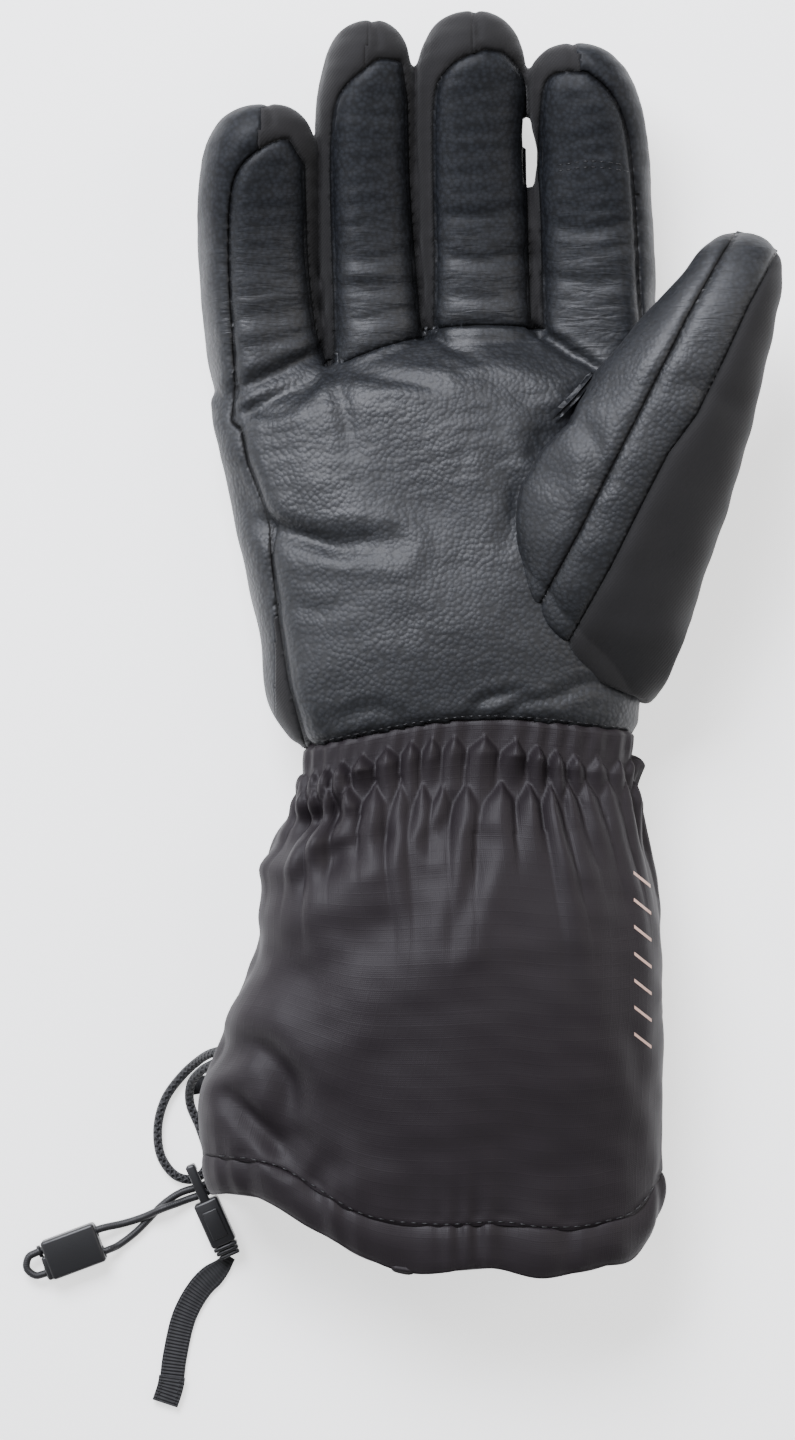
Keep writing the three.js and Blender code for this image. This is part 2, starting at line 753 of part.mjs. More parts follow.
const lowerStrand = [
  [6.7, 2, 6.6],
  [1, 1.5, 3],
  [-3.4, -0.3, 1.5],
  [-9.2, -2.2, 1.15],
  [-14.4, -5.8, 1.15],
  [-17.8, -9.4, 1.15],
  [-21.8, -13.4, 1.15],
  [-26.6, -17, 1.5],
];

function ringOf(radius, sides) {
  const shape = new THREE.Shape();
  for (let i = 0; i < sides; i++) {
    const angle = (2 * Math.PI * i) / sides;
    const x = radius * Math.cos(angle);
    const y = radius * Math.sin(angle);
    if (i === 0) shape.moveTo(x, y);
    else shape.lineTo(x, y);
  }
  return shape;
}

function tube(points, diameter, steps, sides = cordSides) {
  const curve = new THREE.CatmullRomCurve3(points, false, 'centripetal');
  const settings = { steps, bevelEnabled: false, extrudePath: curve };
  return solid(new THREE.ExtrudeGeometry(ringOf(diameter / 2, sides), settings));
}

// A flat band along a path: its width lies level and its thickness stands up.
function band(points, width, thickness, steps) {
  const curve = new THREE.CatmullRomCurve3(points, false, 'centripetal');
  const rings = [];
  for (let i = 0; i <= steps; i++) {
    const centre = curve.getPoint(i / steps);
    const run = curve.getTangent(i / steps);
    const side = new THREE.Vector3(run.y, -run.x, 0).normalize().multiplyScalar(width / 2);
    const up = new THREE.Vector3(0, 0, thickness / 2);
    rings.push([
      centre.clone().add(side).sub(up),
      centre.clone().sub(side).sub(up),
      centre.clone().sub(side).add(up),
      centre.clone().add(side).add(up),
    ]);
  }
  return loft(rings);
}

const leashAt = 0.69;
const leashExit = new THREE.Vector3(cuffSide(leashAt, 14), mix(wristY(-70), hemY(-70), leashAt), 0);
const hemCorner = new THREE.Vector3(cuffRow(1).left * cuffWidth, hemY(-cuffWidth / 2), 0);

function from(anchor, points) {
  return points.map(([x, y, z]) => new THREE.Vector3(anchor.x + x, anchor.y + y, z));
}

// Cord lock
const lockTurn = Math.atan2(0.35, 0.937);
const lockPlace = new THREE.Vector3(hemCorner.x - 39.8, hemCorner.y - 18.6, 0);
const lockAlong = new THREE.Vector3(Math.cos(lockTurn), Math.sin(lockTurn), 0);
const lockSide = new THREE.Vector3(-Math.sin(lockTurn), Math.cos(lockTurn), 0);
const boreHeight = lockHeight / 2;

function lockPoint(along, side, z = boreHeight) {
  const point = lockPlace.clone();
  point.addScaledVector(lockAlong, along);
  point.addScaledVector(lockSide, side);
  point.z = z;
  return point;
}

function lockBody() {
  const bevel = 1;
  const shape = new THREE.Shape();
  const x = lockLength / 2 - bevel;
  const y = lockWidth / 2 - bevel;
  shape.moveTo(-x, -y);
  shape.lineTo(x, -y);
  shape.lineTo(x, y);
  shape.lineTo(-x, y);
  const block = new THREE.ExtrudeGeometry(shape, {
    depth: lockHeight - 2 * bevel,
    bevelSize: bevel,
    bevelThickness: bevel,
    bevelSegments: 2,
  });
  block.translate(0, 0, bevel);
  block.rotateZ(lockTurn);
  block.translate(lockPlace.x, lockPlace.y, 0);
  const bore = elasticDiameter + 2 * boreClearance;
  const bores = [-1, 1].map((side) => {
    const ends = [-lockLength, lockLength].map((along) => lockPoint(along, (side * lockBoreSpacing) / 2));
    return tube(ends, bore, 1, 12);
  });
  return bores.reduce((whole, hole) => whole.subtract(hole), solid(block));
}

// The elastic leaves the hem, passes through the lock, turns and comes back.
function drawcordPath() {
  const half = lockBoreSpacing / 2;
  const inside = [0.58, 0.2, -0.2, -0.55];
  const out = inside.map((share) => lockPoint(share * lockLength, half));
  const back = inside.map((share) => lockPoint(share * lockLength, -half)).reverse();
  const turn = [30, 90, 150].map((degrees) => {
    const angle = THREE.MathUtils.degToRad(degrees);
    return lockPoint(-0.6 * lockLength - half * Math.sin(angle), half * Math.cos(angle));
  });
  const upper = from(hemCorner, upperStrand);
  const lower = from(hemCorner, lowerStrand).reverse();
  return [...upper, ...out, ...turn, ...back, ...lower];
}

// Hook clip between the leash loop and the webbing
const clipPlace = new THREE.Vector3(hemCorner.x + 0.9, hemCorner.y - 10.2, 0);
const clipTurn = Math.atan2(-0.914, 0.405);

function placedClip(geometry) {
  geometry.rotateZ(clipTurn);
  geometry.translate(clipPlace.x, clipPlace.y, 0);
  return solid(geometry);
}

// Outline along the clip and up, given as pairs, made a plate of one width.
function clipPlate(points, width) {
  const shape = new THREE.Shape(points.map(([along, up]) => new THREE.Vector2(along, up)));
  const plate = new THREE.ExtrudeGeometry(shape, { depth: width, bevelEnabled: false });
  plate.translate(0, 0, -width / 2);
  plate.rotateX(Math.PI / 2);
  return placedClip(plate);
}

function clipBody() {
  const half = clipLength / 2;
  const end = half + clipTaper;
  const top = clipHeight;
  const body = [
    [-half, 0.3],
    [-half, top - 1],
    [-half + 1, top],
    [half - 1.5, top],
    [half, top - 0.8],
    [half, 0.3],
    [half - 0.6, 0],
    [-half + 0.6, 0],
  ];
  const lift = webbingThickness + seamGap;
  const neck = [
    [half - 2, lift],
    [half - 2, top - 0.8],
    [end, top * 0.55],
    [end, lift],
  ];
  const low = top * 0.58;
  const hook = [
    [-half + 1, low],
    [-half - hookReach + hookThickness, low],
    [-half - hookReach + hookThickness, 0.4],
    [-half - hookReach, 0.4],
    [-half - hookReach, low + hookThickness * 0.4],
    [-half - hookReach + hookThickness * 0.6, low + hookThickness],
    [-half + 1, low + hookThickness],
  ];
  const ribs = [0, 1, 2].map((index) => {
    const at = half + 0.4 + index * 1.3;
    const height = top * (0.92 - 0.09 * index);
    const outline = [
      [at, lift],
      [at, height],
      [at + 0.7, height],
      [at + 0.7, lift],
    ];
    return clipPlate(outline, clipWidth * (0.96 - 0.06 * index));
  });
  const plates = [clipPlate(body, clipWidth), clipPlate(neck, clipWidth * 0.7), clipPlate(hook, hookWidth)];
  return joined([...plates, ...ribs]);
}

// Webbing leash below the clip, laid on the surface, with its end turned under and sewn.
const webbingPoints = [
  [4.9, -20.2],
  [3, -23],
  [-3.2, -29],
  [-7.8, -37],
  [-10.6, -48.6],
  [-11.8, -57],
  [-13.4, -62],
];

function webbingBody() {
  const half = webbingThickness / 2;
  const path = webbingPoints.map(([x, y]) => new THREE.Vector3(hemCorner.x + x, hemCorner.y + y, half));
  const run = band(path, webbingWidth, webbingThickness, 14);
  const tail = path.at(-1);
  const before = path.at(-2);
  const back = before.clone().sub(tail).setLength(webbingEnd);
  const lift = new THREE.Vector3(0, 0, webbingThickness * 0.9);
  const fold = [tail.clone().add(lift), tail.clone().add(back).add(lift)];
  const doubled = band(fold, webbingWidth, webbingThickness, 1);
  return run.add(doubled);
}

// Folded tab that holds the leash loop to the cuff's side seam
const tabPoints = [
  [1.6, -8.6, 7.2],
  [-2.4, -9.4, 3.2],
  [-6.2, -10, 1.2],
  [-9.4, -10.6, 0.7],
];

// Put together
const group = new THREE.Group();

function show(name, part, surface) {
  const { vertProperties, triVerts } = part.getMesh();
  const geometry = new THREE.BufferGeometry();
  geometry.setAttribute('position', new THREE.Float32BufferAttribute(vertProperties, 3));
  geometry.setIndex(new THREE.Uint32BufferAttribute(triVerts, 1));
  geometry.computeVertexNormals();
  const mesh = new THREE.Mesh(geometry, surface);
  mesh.name = name;
  group.add(mesh);
}

// The piece of a shell beside a finger, counted across in its half widths.
function beside(parts, finger, across) {
  const x = finger.x + (across * finger.width) / 2;
  return nearest(parts, x, crotchY(finger.x) + finger.length / 2);
}

// The half of the thumb on one side of its axis.
function besideThumb(side) {
  const place = thumbPoint(0.55, (side * thumbWidth) / 3, 0);
  return nearest(thumbHalves, place.x, place.y);
}

const [little, ring, middle, index] = hand;
show('palm_panel', biggest(fronts), leather);
show('ring_front', beside(fronts, ring, 0), leather);
show('middle_front', beside(fronts, middle, 0), leather);
show('back_panel', biggest(backs), softshell);
hand.forEach((finger) => show(`${finger.name}_back`, beside(backs, finger, 0), softshell));
show('outer_strip', nearest(sides, little.x - little.width / 2, crotchY(little.x)), leather);
show('fourchette_little_ring', beside(sides, little, 1), softshell);
show('fourchette_ring_middle', beside(sides, ring, 1), softshell);
show('fourchette_middle_index', beside(sides, middle, 1), softshell);
show('index_strip', beside(sides, index, 1), leather);
show('thumb_strip', biggest(pieces(thumbStrip)), leather);
show('thumb_front', besideThumb(-1), leather);
show('thumb_back', besideThumb(1), nylon);
show('gauntlet', gauntletBody(), nylon);
show('hem_casing', hemBody(), nylon);
show('leash_loop', tube(from(leashExit, leashPoints), leashDiameter, 27), cordFibre);
show('leash_tab', band(from(leashExit, tabPoints), tabWidth, tabThickness, 5), nylon);
show('hook_clip', clipBody(), plastic);
show('webbing_leash', webbingBody(), nylon);
show('elastic_drawcord', tube(drawcordPath(), elasticDiameter, 38), cordFibre);
show('cord_lock', lockBody(), plastic);

export default group;
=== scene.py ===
"""A padded winter glove with a gathered gauntlet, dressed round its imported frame.

Lengths are worked out in millimetres and written to the meshes in metres. Places on the glove
that were read from the photograph are kept as its pixels, and plan() turns them into millimetres.
"""

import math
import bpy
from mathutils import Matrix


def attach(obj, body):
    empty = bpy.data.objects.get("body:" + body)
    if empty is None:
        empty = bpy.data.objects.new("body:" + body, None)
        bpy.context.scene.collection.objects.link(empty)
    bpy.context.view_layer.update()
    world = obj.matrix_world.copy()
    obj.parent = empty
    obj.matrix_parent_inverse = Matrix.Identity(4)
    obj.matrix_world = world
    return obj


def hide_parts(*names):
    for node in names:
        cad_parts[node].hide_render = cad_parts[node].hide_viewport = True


bl_info = {
    "name": "Winter glove",
    "version": (1, 0, 0),
    "blender": (4, 5, 0),
    "location": "View3D > Sidebar > Glove",
    "description": "Builds a padded winter glove, its cuff and its cords piece by piece",
    "category": "Object",
}

import bmesh
import bpy
import numpy as np
from mathutils import Matrix, Vector
from mathutils.bvhtree import BVHTree

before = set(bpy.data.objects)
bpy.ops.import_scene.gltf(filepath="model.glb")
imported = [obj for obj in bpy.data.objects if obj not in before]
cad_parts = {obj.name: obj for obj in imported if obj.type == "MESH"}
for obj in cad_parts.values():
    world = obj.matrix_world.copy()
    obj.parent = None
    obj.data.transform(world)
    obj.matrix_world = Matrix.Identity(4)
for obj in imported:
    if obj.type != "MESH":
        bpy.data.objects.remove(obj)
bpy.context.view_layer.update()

MM = 0.001
WELL_ABOVE = 0.2
THREAD_LIFT = 0.05
FAR_OFF = 99

# Photograph
MM_PER_PIXEL = 0.28
ORIGIN_PIXEL = (470, 770)
IMAGE_PIXELS = (795, 1440)

# Hand, in millimetres
PALM_WIDTH = 122
PALM_LENGTH = 121
PALM_HEIGHT = 42
FINGER_WIDTH = 32
FINGER_LENGTH = 90
FINGER_HEIGHT = 29
FINGER_GAP = 1
FINGERTIP_LIFT = 14
# Shares of a finger's length: where it starts inside the palm and where its tip starts to round.
ROOT_START = -0.3
TIP_START = 0.7
TIP_ROUND = 2.6
FINGER_SIDES = 64
THUMB_LENGTH = 130
THUMB_WIDTH = 57
THUMB_HEIGHT = 46
THUMB_LEAN = math.radians(22)
THUMB_ROOT = (0.39 * PALM_WIDTH, 0.162 * PALM_LENGTH)
STACK_CENTRE = -0.104
SQUARENESS = 2.4
FLOOR_PRESS = 3

# Cuff, in millimetres
CUFF_LENGTH = 138
CUFF_WIDTH = 130
CUFF_HEIGHT = 50
HEM_WIDTH = 11.5
CUFF_WALL = 1.2
HEM_WALL = 0.6
GATHERS = 36
GATHERED_END = 0.2
CUFF_SIDES = 400
HEM_SIDES = 420

PALM_MIDDLE = PALM_HEIGHT * 0.45
CUFF_MIDDLE = CUFF_HEIGHT * 0.45

WRIST_SEAM = [
    {"at": -0.39, "y": 0.046},
    {"at": 0, "y": 0.112},
    {"at": 0.39, "y": 0.083},
]
CROTCH_LINE = [
    {"at": -0.62, "y": 0.86},
    {"at": -0.37, "y": 0.926},
    {"at": -0.13, "y": 0.99},
    {"at": 0.135, "y": 1},
    {"at": 0.42, "y": 0.926},
]
PALM_ROWS = [
    {"at": 0, "left": -0.392, "right": 0.388, "top": 1},
    {"at": 0.1, "left": -0.452, "right": 0.392, "top": 1.05},
    {"at": 0.3, "left": -0.48, "right": 0.404, "top": 1.07},
    {"at": 0.5, "left": -0.516, "right": 0.41, "top": 1.03},
    {"at": 0.66, "left": -0.545, "right": 0.41, "top": 1},
    {"at": 0.78, "left": -0.564, "right": 0.41, "top": 0.97},
    {"at": 0.92, "left": -0.588, "right": 0.41, "top": 0.86},
    {"at": 1, "left": -0.598, "right": 0.4, "top": 0.6},
]
FINGERS = [
    {"name": "little", "width": 1.015, "length": 0.847, "base": 0.12, "tip": 0.08, "roll": 15},
    {"name": "ring", "width": 0.83, "length": 1.013, "base": 0.11, "tip": 0.04, "roll": 15},
    {"name": "middle", "width": 0.99, "length": 0.996, "base": 0.08, "tip": -0.01, "roll": 8},
    {"name": "index", "width": 1.035, "length": 0.949, "base": 0.03, "tip": -0.155, "roll": -10},
]
THUMB_ROWS = [
    {"at": 0, "side": -0.11, "half": 0.16, "level": 0.5, "rise": 0.24},
    {"at": 0.092, "side": -0.28, "half": 0.41, "level": 0.6, "rise": 0.44},
    {"at": 0.22, "side": -0.43, "half": 0.503, "level": 0.72, "rise": 0.5},
    {"at": 0.395, "side": -0.465, "half": 0.512, "level": 0.84, "rise": 0.49},
    {"at": 0.558, "side": -0.419, "half": 0.43, "level": 0.96, "rise": 0.43},
    {"at": 0.717, "side": -0.384, "half": 0.339, "level": 1.04, "rise": 0.37},
    {"at": 0.86, "side": -0.354, "half": 0.251, "level": 1.06, "rise": 0.3},
    {"at": 0.94, "side": -0.345, "half": 0.195, "level": 1.04, "rise": 0.24},
    {"at": 0.985, "side": -0.34, "half": 0.12, "level": 1.02, "rise": 0.16},
    {"at": 1, "side": -0.338, "half": 0.055, "level": 1.01, "rise": 0.08},
]
CUFF_ROWS = [
    {"at": 0, "left": -0.37, "right": 0.364, "top": 0.85},
    {"at": 0.067, "left": -0.374, "right": 0.357, "top": 0.85},
    {"at": 0.13, "left": -0.386, "right": 0.362, "top": 0.87},
    {"at": 0.18, "left": -0.418, "right": 0.372, "top": 0.93},
    {"at": 0.27, "left": -0.445, "right": 0.392, "top": 1},
    {"at": 0.38, "left": -0.448, "right": 0.408, "top": 1.04},
    {"at": 0.64, "left": -0.532, "right": 0.414, "top": 1.03},
    {"at": 0.78, "left": -0.576, "right": 0.41, "top": 0.98},
    {"at": 0.91, "left": -0.575, "right": 0.412, "top": 0.94},
    {"at": 1, "left": -0.562, "right": 0.41, "top": 0.92},
]
HEM_LINE = [
    {"at": -0.57, "y": -0.852},
    {"at": -0.41, "y": -0.872},
    {"at": -0.32, "y": -0.923},
    {"at": -0.25, "y": -0.966},
    {"at": -0.07, "y": -1},
    {"at": 0.07, "y": -0.996},
    {"at": 0.16, "y": -1.008},
    {"at": 0.28, "y": -0.998},
    {"at": 0.366, "y": -0.962},
    {"at": 0.41, "y": -0.9},
]
# The two rows of gathers: where each starts, stands full and ends, in millimetres below the
# wrist seam, how high it stands, and how far round it is shifted, in gathers.
GATHER_ROWS = [
    {"top": 5, "full": 9, "end": 27, "high": 3.5, "phase": 0},
    {"top": 14, "full": 20, "end": 56, "high": 3.3, "phase": 0.5},
]

# Edges of the leather on the palm and on the fingers' fronts, in the photograph's pixels.
FRONT_EDGES = [
    [
        (307, 800), (307, 749), (289, 681), (280, 622), (273, 564), (271, 528), (262, 500),
        (249, 465), (242, 430), (239, 395), (322, 366), (330, 359), (338, 358), (418, 331),
        (426, 327), (434, 327), (530, 327), (537, 325), (545, 330), (600, 352), (646, 382),
        (700, 430), (800, 430), (800, 800),
    ],
    [
        (290, 146), (280, 147), (262, 156), (242, 174), (233, 198), (230, 241), (231, 295),
        (234, 348), (236, 388), (240, 430), (326, 400), (325, 358), (316, 330), (309, 268),
        (307, 214), (306, 170),
    ],
    [
        (402, 68), (380, 67), (364, 78), (345, 94), (334, 115), (330, 161), (331, 228),
        (333, 295), (334, 348), (336, 400), (420, 380), (420, 317), (416, 268), (410, 187),
        (408, 107),
    ],
    [
        (484, 58), (460, 67), (444, 80), (435, 96), (432, 134), (433, 214), (434, 268),
        (433, 325), (434, 370), (532, 370), (531, 321), (529, 268), (527, 187), (526, 134),
        (525, 91), (517, 72), (503, 60),
    ],
    [
        (565, 79), (549, 83), (540, 102), (537, 161), (540, 214), (542, 295), (543, 325),
        (545, 380), (640, 400), (641, 321), (639, 295), (636, 241), (632, 187), (627, 145),
        (616, 113), (602, 94), (584, 80),
    ],
]
# The slit of light between two fingers: where it is, and how far each finger draws back there.
PARTING = {"y": 175, "long": 11, "middle": -1.3, "index": 2}
THUMB_LINES = {
    "first": [
        (748, 210), (730, 241), (713, 268), (682, 323), (661, 365), (627, 433), (602, 482),
        (575, 537), (540, 602), (500, 680),
    ],
    "second": [
        (795, 220), (769, 263), (740, 316), (716, 368), (689, 423), (661, 461), (633, 516),
        (606, 571), (585, 609), (563, 649), (530, 710),
    ],
}
THUMB_ROOT_SEAM = [
    (592, 377), (568, 427), (537, 458), (520, 489), (514, 523), (516, 557), (530, 602),
    (551, 637), (575, 661), (599, 685), (627, 705), (645, 716),
]
THUMB_OUTER_EDGE = [
    (771, 262), (768, 330), (755, 420), (735, 510), (715, 560), (690, 620), (660, 690),
    (646, 718), (640, 745),
]
BASE_SEAMS = {
    "ring": [(322, 372), (380, 350), (432, 334)],
    "middle": [(426, 330), (480, 327), (540, 328)],
}
# Beside the thumb the leather reaches lower than the hand's middle, in millimetres.
THUMB_WEB = {"px": (586, 392), "lower": 12, "wide": 15}
# The printed bars: the column of pixels they stand in and its ends, how far apart and how wide
# they are in millimetres, how steeply they slant and which share of each step is printed.
PRINT = {
    "px": 640, "top": 868, "bottom": 1046, "spacing": 7.4, "wide": 5, "slant": 0.8, "share": 0.12,
}
# Creases: pixels they run through, depth and half width in millimetres.
CREASES = [
    {
        "name": "heart line", "px": [(235, 478), (262, 524), (320, 544), (392, 546)], "deep": 1.9,
        "wide": 3.4,
    },
    {"name": "heart line end", "px": [(262, 524), (300, 536), (345, 556)], "deep": 0.9, "wide": 2},
    {"name": "web to edge", "px": [(328, 372), (296, 404), (250, 420)], "deep": 1, "wide": 2},
    {"name": "web down", "px": [(333, 374), (345, 415), (352, 452)], "deep": 0.8, "wide": 2.4},
    {"name": "web across", "px": [(336, 372), (385, 380), (440, 392)], "deep": 0.9, "wide": 2},
    {"name": "hollow", "px": [(360, 440), (420, 500), (455, 560)], "deep": 1.4, "wide": 8},
    {"name": "middle base", "px": [(434, 336), (452, 352), (476, 360)], "deep": 0.7, "wide": 1.4},
    {"name": "life line", "px": [(470, 372), (520, 400), (560, 438)], "deep": 0.8, "wide": 3.4},
    {"name": "thumb dent", "px": [(548, 446), (575, 432), (598, 408)], "deep": 3, "wide": 4.6},
    {"name": "thumb side", "px": [(500, 470), (516, 500), (508, 540)], "deep": 1, "wide": 3},
    {"name": "heel tuck", "px": [(468, 716), (484, 700), (520, 692)], "deep": 0.8, "wide": 1.5},
    {"name": "heel tuck", "px": [(500, 722), (520, 704), (562, 698)], "deep": 0.7, "wide": 1.5},
    {"name": "heel fold", "px": [(556, 694), (592, 684), (628, 690)], "deep": 0.9, "wide": 1.8},
    {"name": "heel left", "px": [(330, 722), (372, 708), (400, 716)], "deep": 0.5, "wide": 2},
    {"name": "edge ripple", "px": [(282, 600), (320, 612), (352, 604)], "deep": 0.4, "wide": 2.4},
    {"name": "little base", "px": [(236, 392), (280, 374), (322, 352)], "deep": 1.7, "wide": 2},
    {"name": "little base", "px": [(240, 420), (270, 402), (312, 386)], "deep": 1, "wide": 1.8},
    {"name": "little bend", "px": [(232, 322), (270, 318), (318, 306)], "deep": 0.45, "wide": 2},
    {"name": "little bend", "px": [(232, 352), (272, 344), (318, 330)], "deep": 0.32, "wide": 1.6},
    {"name": "ring bend", "px": [(334, 258), (372, 262), (414, 254)], "deep": 0.41, "wide": 1.8},
    {"name": "ring bend", "px": [(334, 288), (378, 292), (418, 282)], "deep": 0.41, "wide": 1.8},
    {"name": "ring bend", "px": [(336, 318), (372, 320), (420, 308)], "deep": 0.27, "wide": 1.5},
    {"name": "middle bend", "px": [(436, 216), (478, 220), (528, 212)], "deep": 0.41, "wide": 1.8},
    {"name": "middle bend", "px": [(436, 256), (480, 264), (530, 254)], "deep": 0.72, "wide": 2},
    {"name": "middle bend", "px": [(437, 296), (486, 300), (532, 290)], "deep": 0.27, "wide": 1.8},
    {"name": "index bend", "px": [(540, 226), (586, 234), (634, 224)], "deep": 0.41, "wide": 1.8},
    {"name": "index bend", "px": [(542, 278), (590, 286), (636, 274)], "deep": 0.45, "wide": 2},
    {"name": "index base", "px": [(538, 330), (566, 352), (604, 376)], "deep": 1.7, "wide": 1.6},
]
THUMB_CREASES = [
    {"name": "thumb root fold", "px": [(576, 430), (590, 455), (592, 486)], "deep": 1, "wide": 2.6},
    {"name": "thumb middle", "px": [(655, 395), (690, 398), (742, 420)], "deep": 0.5, "wide": 3},
    {"name": "thumb base", "px": [(528, 470), (560, 500), (566, 540)], "deep": 0.6, "wide": 4},
]
CUFF_FOLDS = [
    {"name": "side tuck", "px": [(278, 846), (303, 824), (334, 812)], "deep": 5.5, "wide": 3.2},
    {"name": "top fold", "px": [(483, 840), (466, 890), (455, 937)], "deep": 1.5, "wide": 3},
    {"name": "top fold", "px": [(404, 812), (388, 832), (368, 854)], "deep": 1.5, "wide": 2.8},
    {"name": "top fold", "px": [(452, 806), (442, 824), (432, 842)], "deep": 1.6, "wide": 2.4},
    {"name": "top fold", "px": [(563, 806), (574, 828), (586, 850)], "deep": 1.5, "wide": 2.8},
    {"name": "top fold", "px": [(352, 826), (319, 877), (276, 892)], "deep": 1.7, "wide": 4},
    {
        "name": "bulge edge", "px": [(218, 1046), (256, 1044), (284, 1074), (292, 1124)],
        "deep": 3.4, "wide": 4.2,
    },
    {"name": "bulge edge", "px": [(258, 958), (300, 975), (320, 1012)], "deep": 1.7, "wide": 6},
    {"name": "side tuck", "px": [(286, 880), (330, 852), (372, 838)], "deep": 1.2, "wide": 4},
    {
        "name": "long fold", "px": [(262, 980), (330, 960), (420, 900), (448, 850)], "deep": 1.6,
        "wide": 8,
    },
    {"name": "low fold", "px": [(222, 1066), (262, 1118), (318, 1164)], "deep": 2.4, "wide": 5},
    {"name": "low fold", "px": [(250, 1050), (330, 1110), (420, 1150)], "deep": 0.9, "wide": 7},
    {"name": "corner fold", "px": [(228, 1092), (246, 1110), (290, 1156)], "deep": 2, "wide": 2.4},
    {"name": "right edge", "px": [(622, 850), (618, 960), (640, 1080)], "deep": 0.8, "wide": 4},
    {"name": "hem dip", "px": [(430, 1180), (460, 1222)], "deep": 0.8, "wide": 7},
    {"name": "hem dip", "px": [(560, 1170), (575, 1222)], "deep": 0.7, "wide": 6},
]

# Cords and what is on them: points are across, along and up from their anchors, in millimetres.
LEASH_EXIT = (-69.51, -79.7)
HEM_CORNER = (-73.06, -118.41)
LEASH_DIAMETER = 2.4
ELASTIC_DIAMETER = 2
# Share of its diameter that a cord's radius is drawn with, for its braid stands a little proud.
CORD_RADIUS = 0.54
LEASH_POINTS = [
    (-0.9, 0.5, 14.2), (-3.8, -0.6, 10.6), (-7.4, -3.1, 5), (-12, -7.4, 1.6), (-16.8, -14, 1.4),
    (-19, -22.4, 1.4), (-17.9, -30.8, 1.4), (-13.6, -36.1, 1.4), (-8.6, -36.9, 1.4),
    (-5.6, -34.4, 1.4), (-5, -29.4, 1.4), (-7, -22.4, 1.4), (-9.8, -15.4, 1.6),
    (-9.4, -9.6, 4.9), (-6.2, -5.4, 9.6), (-2.7, -3.2, 12.6),
]
UPPER_STRAND = [
    (7.2, -0.8, 6.2), (1, -0.7, 2.7), (-3, -2.6, 1.8), (-6.4, -3.8, 1.5), (-10.4, -5.2, 2.6),
    (-14, -6.4, 3.5), (-19.6, -9, 2), (-25.2, -10.8, 1.7),
]
LOWER_STRAND = [
    (6.7, 2, 6.6), (1, 1.5, 3), (-3.4, -0.3, 1.5), (-9.2, -2.2, 1.15), (-14.4, -5.8, 1.15),
    (-17.8, -9.4, 1.15), (-21.8, -13.4, 1.15), (-26.6, -17, 1.5),
]
TAB_POINTS = [(1.6, -8.6, 7.2), (-2.4, -9.4, 3.2), (-6.2, -10, 1.2), (-9.4, -10.6, 0.7)]
WEBBING_POINTS = [
    (4.9, -20.2), (3, -23), (-3.2, -29), (-7.8, -37), (-10.6, -48.6), (-11.8, -57), (-13.4, -62),
]
LOCK_SIZE = (17.4, 11.5, 6.5)
LOCK_TURN = math.atan2(0.35, 0.937)
LOCK_PLACE = (HEM_CORNER[0] - 39.8, HEM_CORNER[1] - 18.6)
LOCK_BORE_SPACING = 6.4
CLIP_SIZE = (13.5, 7.3, 6.4)
CLIP_TURN = math.atan2(-0.914, 0.405)
CLIP_PLACE = (HEM_CORNER[0] + 0.9, HEM_CORNER[1] - 10.2)
HOOK_REACH = 11
WEBBING_WIDTH = 7.5
WEBBING_THICK = 1.1

HAND_NODES = {
    "palm_panel": ["palm_panel"],
    "ring_front": ["ring_front"],
    "middle_front": ["middle_front"],
    "back_panel": ["back_panel", "little_back", "ring_back", "middle_back", "index_back"],
    "outer_strip": ["outer_strip"],
    "fourchette_little_ring": ["fourchette_little_ring"],
    "fourchette_ring_middle": ["fourchette_ring_middle"],
    "fourchette_middle_index": ["fourchette_middle_index"],
    "index_strip": ["index_strip"],
}
LEATHER_PANELS = ("palm_panel", "ring_front", "middle_front", "outer_strip", "index_strip")


def linear(code):
    """A colour written as sRGB hex, made linear for the shader."""
    parts = [int(code[i : i + 2], 16) / 255 for i in (1, 3, 5)]
    light = [c / 12.92 if c <= 0.04045 else ((c + 0.055) / 1.055) ** 2.4 for c in parts]
    return (*light, 1.0)


class GloveSettings(bpy.types.PropertyGroup):
    """Sizes and colours that a user would change."""

    voxel: bpy.props.FloatProperty(
        name="Skin grain", description="Spacing of the points of the padded skin",
        default=0.0009, min=0.0005, max=0.003, precision=4, unit="LENGTH",
    )
    seam_depth: bpy.props.FloatProperty(
        name="Seam depth", description="How deep the seams pull into the padding",
        default=0.0012, min=0, max=0.004, precision=4, unit="LENGTH",
    )
    wall: bpy.props.FloatProperty(
        name="Wall", description="Thickness of the panels",
        default=0.0014, min=0.0005, max=0.004, precision=4, unit="LENGTH",
    )
    leather: bpy.props.FloatVectorProperty(
        name="Leather", description="Colour of the palm's leather",
        subtype="COLOR", size=4, default=linear("#16181c"), min=0, max=1,
    )
    softshell: bpy.props.FloatVectorProperty(
        name="Softshell", description="Colour of the gussets and the back",
        subtype="COLOR", size=4, default=linear("#0f0e0f"), min=0, max=1,
    )
    nylon: bpy.props.FloatVectorProperty(
        name="Nylon", description="Colour of the gauntlet's cloth",
        subtype="COLOR", size=4, default=linear("#1c181b"), min=0, max=1,
    )
    plastic: bpy.props.FloatVectorProperty(
        name="Plastic", description="Colour of the cord lock and the clip",
        subtype="COLOR", size=4, default=linear("#161618"), min=0, max=1,
    )
    cord: bpy.props.FloatVectorProperty(
        name="Cord", description="Colour of the cords and the webbing",
        subtype="COLOR", size=4, default=linear("#151517"), min=0, max=1,
    )
    print_colour: bpy.props.FloatVectorProperty(
        name="Print", description="Colour of the bars printed on the gauntlet",
        subtype="COLOR", size=4, default=linear("#c9a79a"), min=0, max=1,
    )


def settings():
    """The sizes and colours set in the scene."""
    return bpy.context.scene.glove


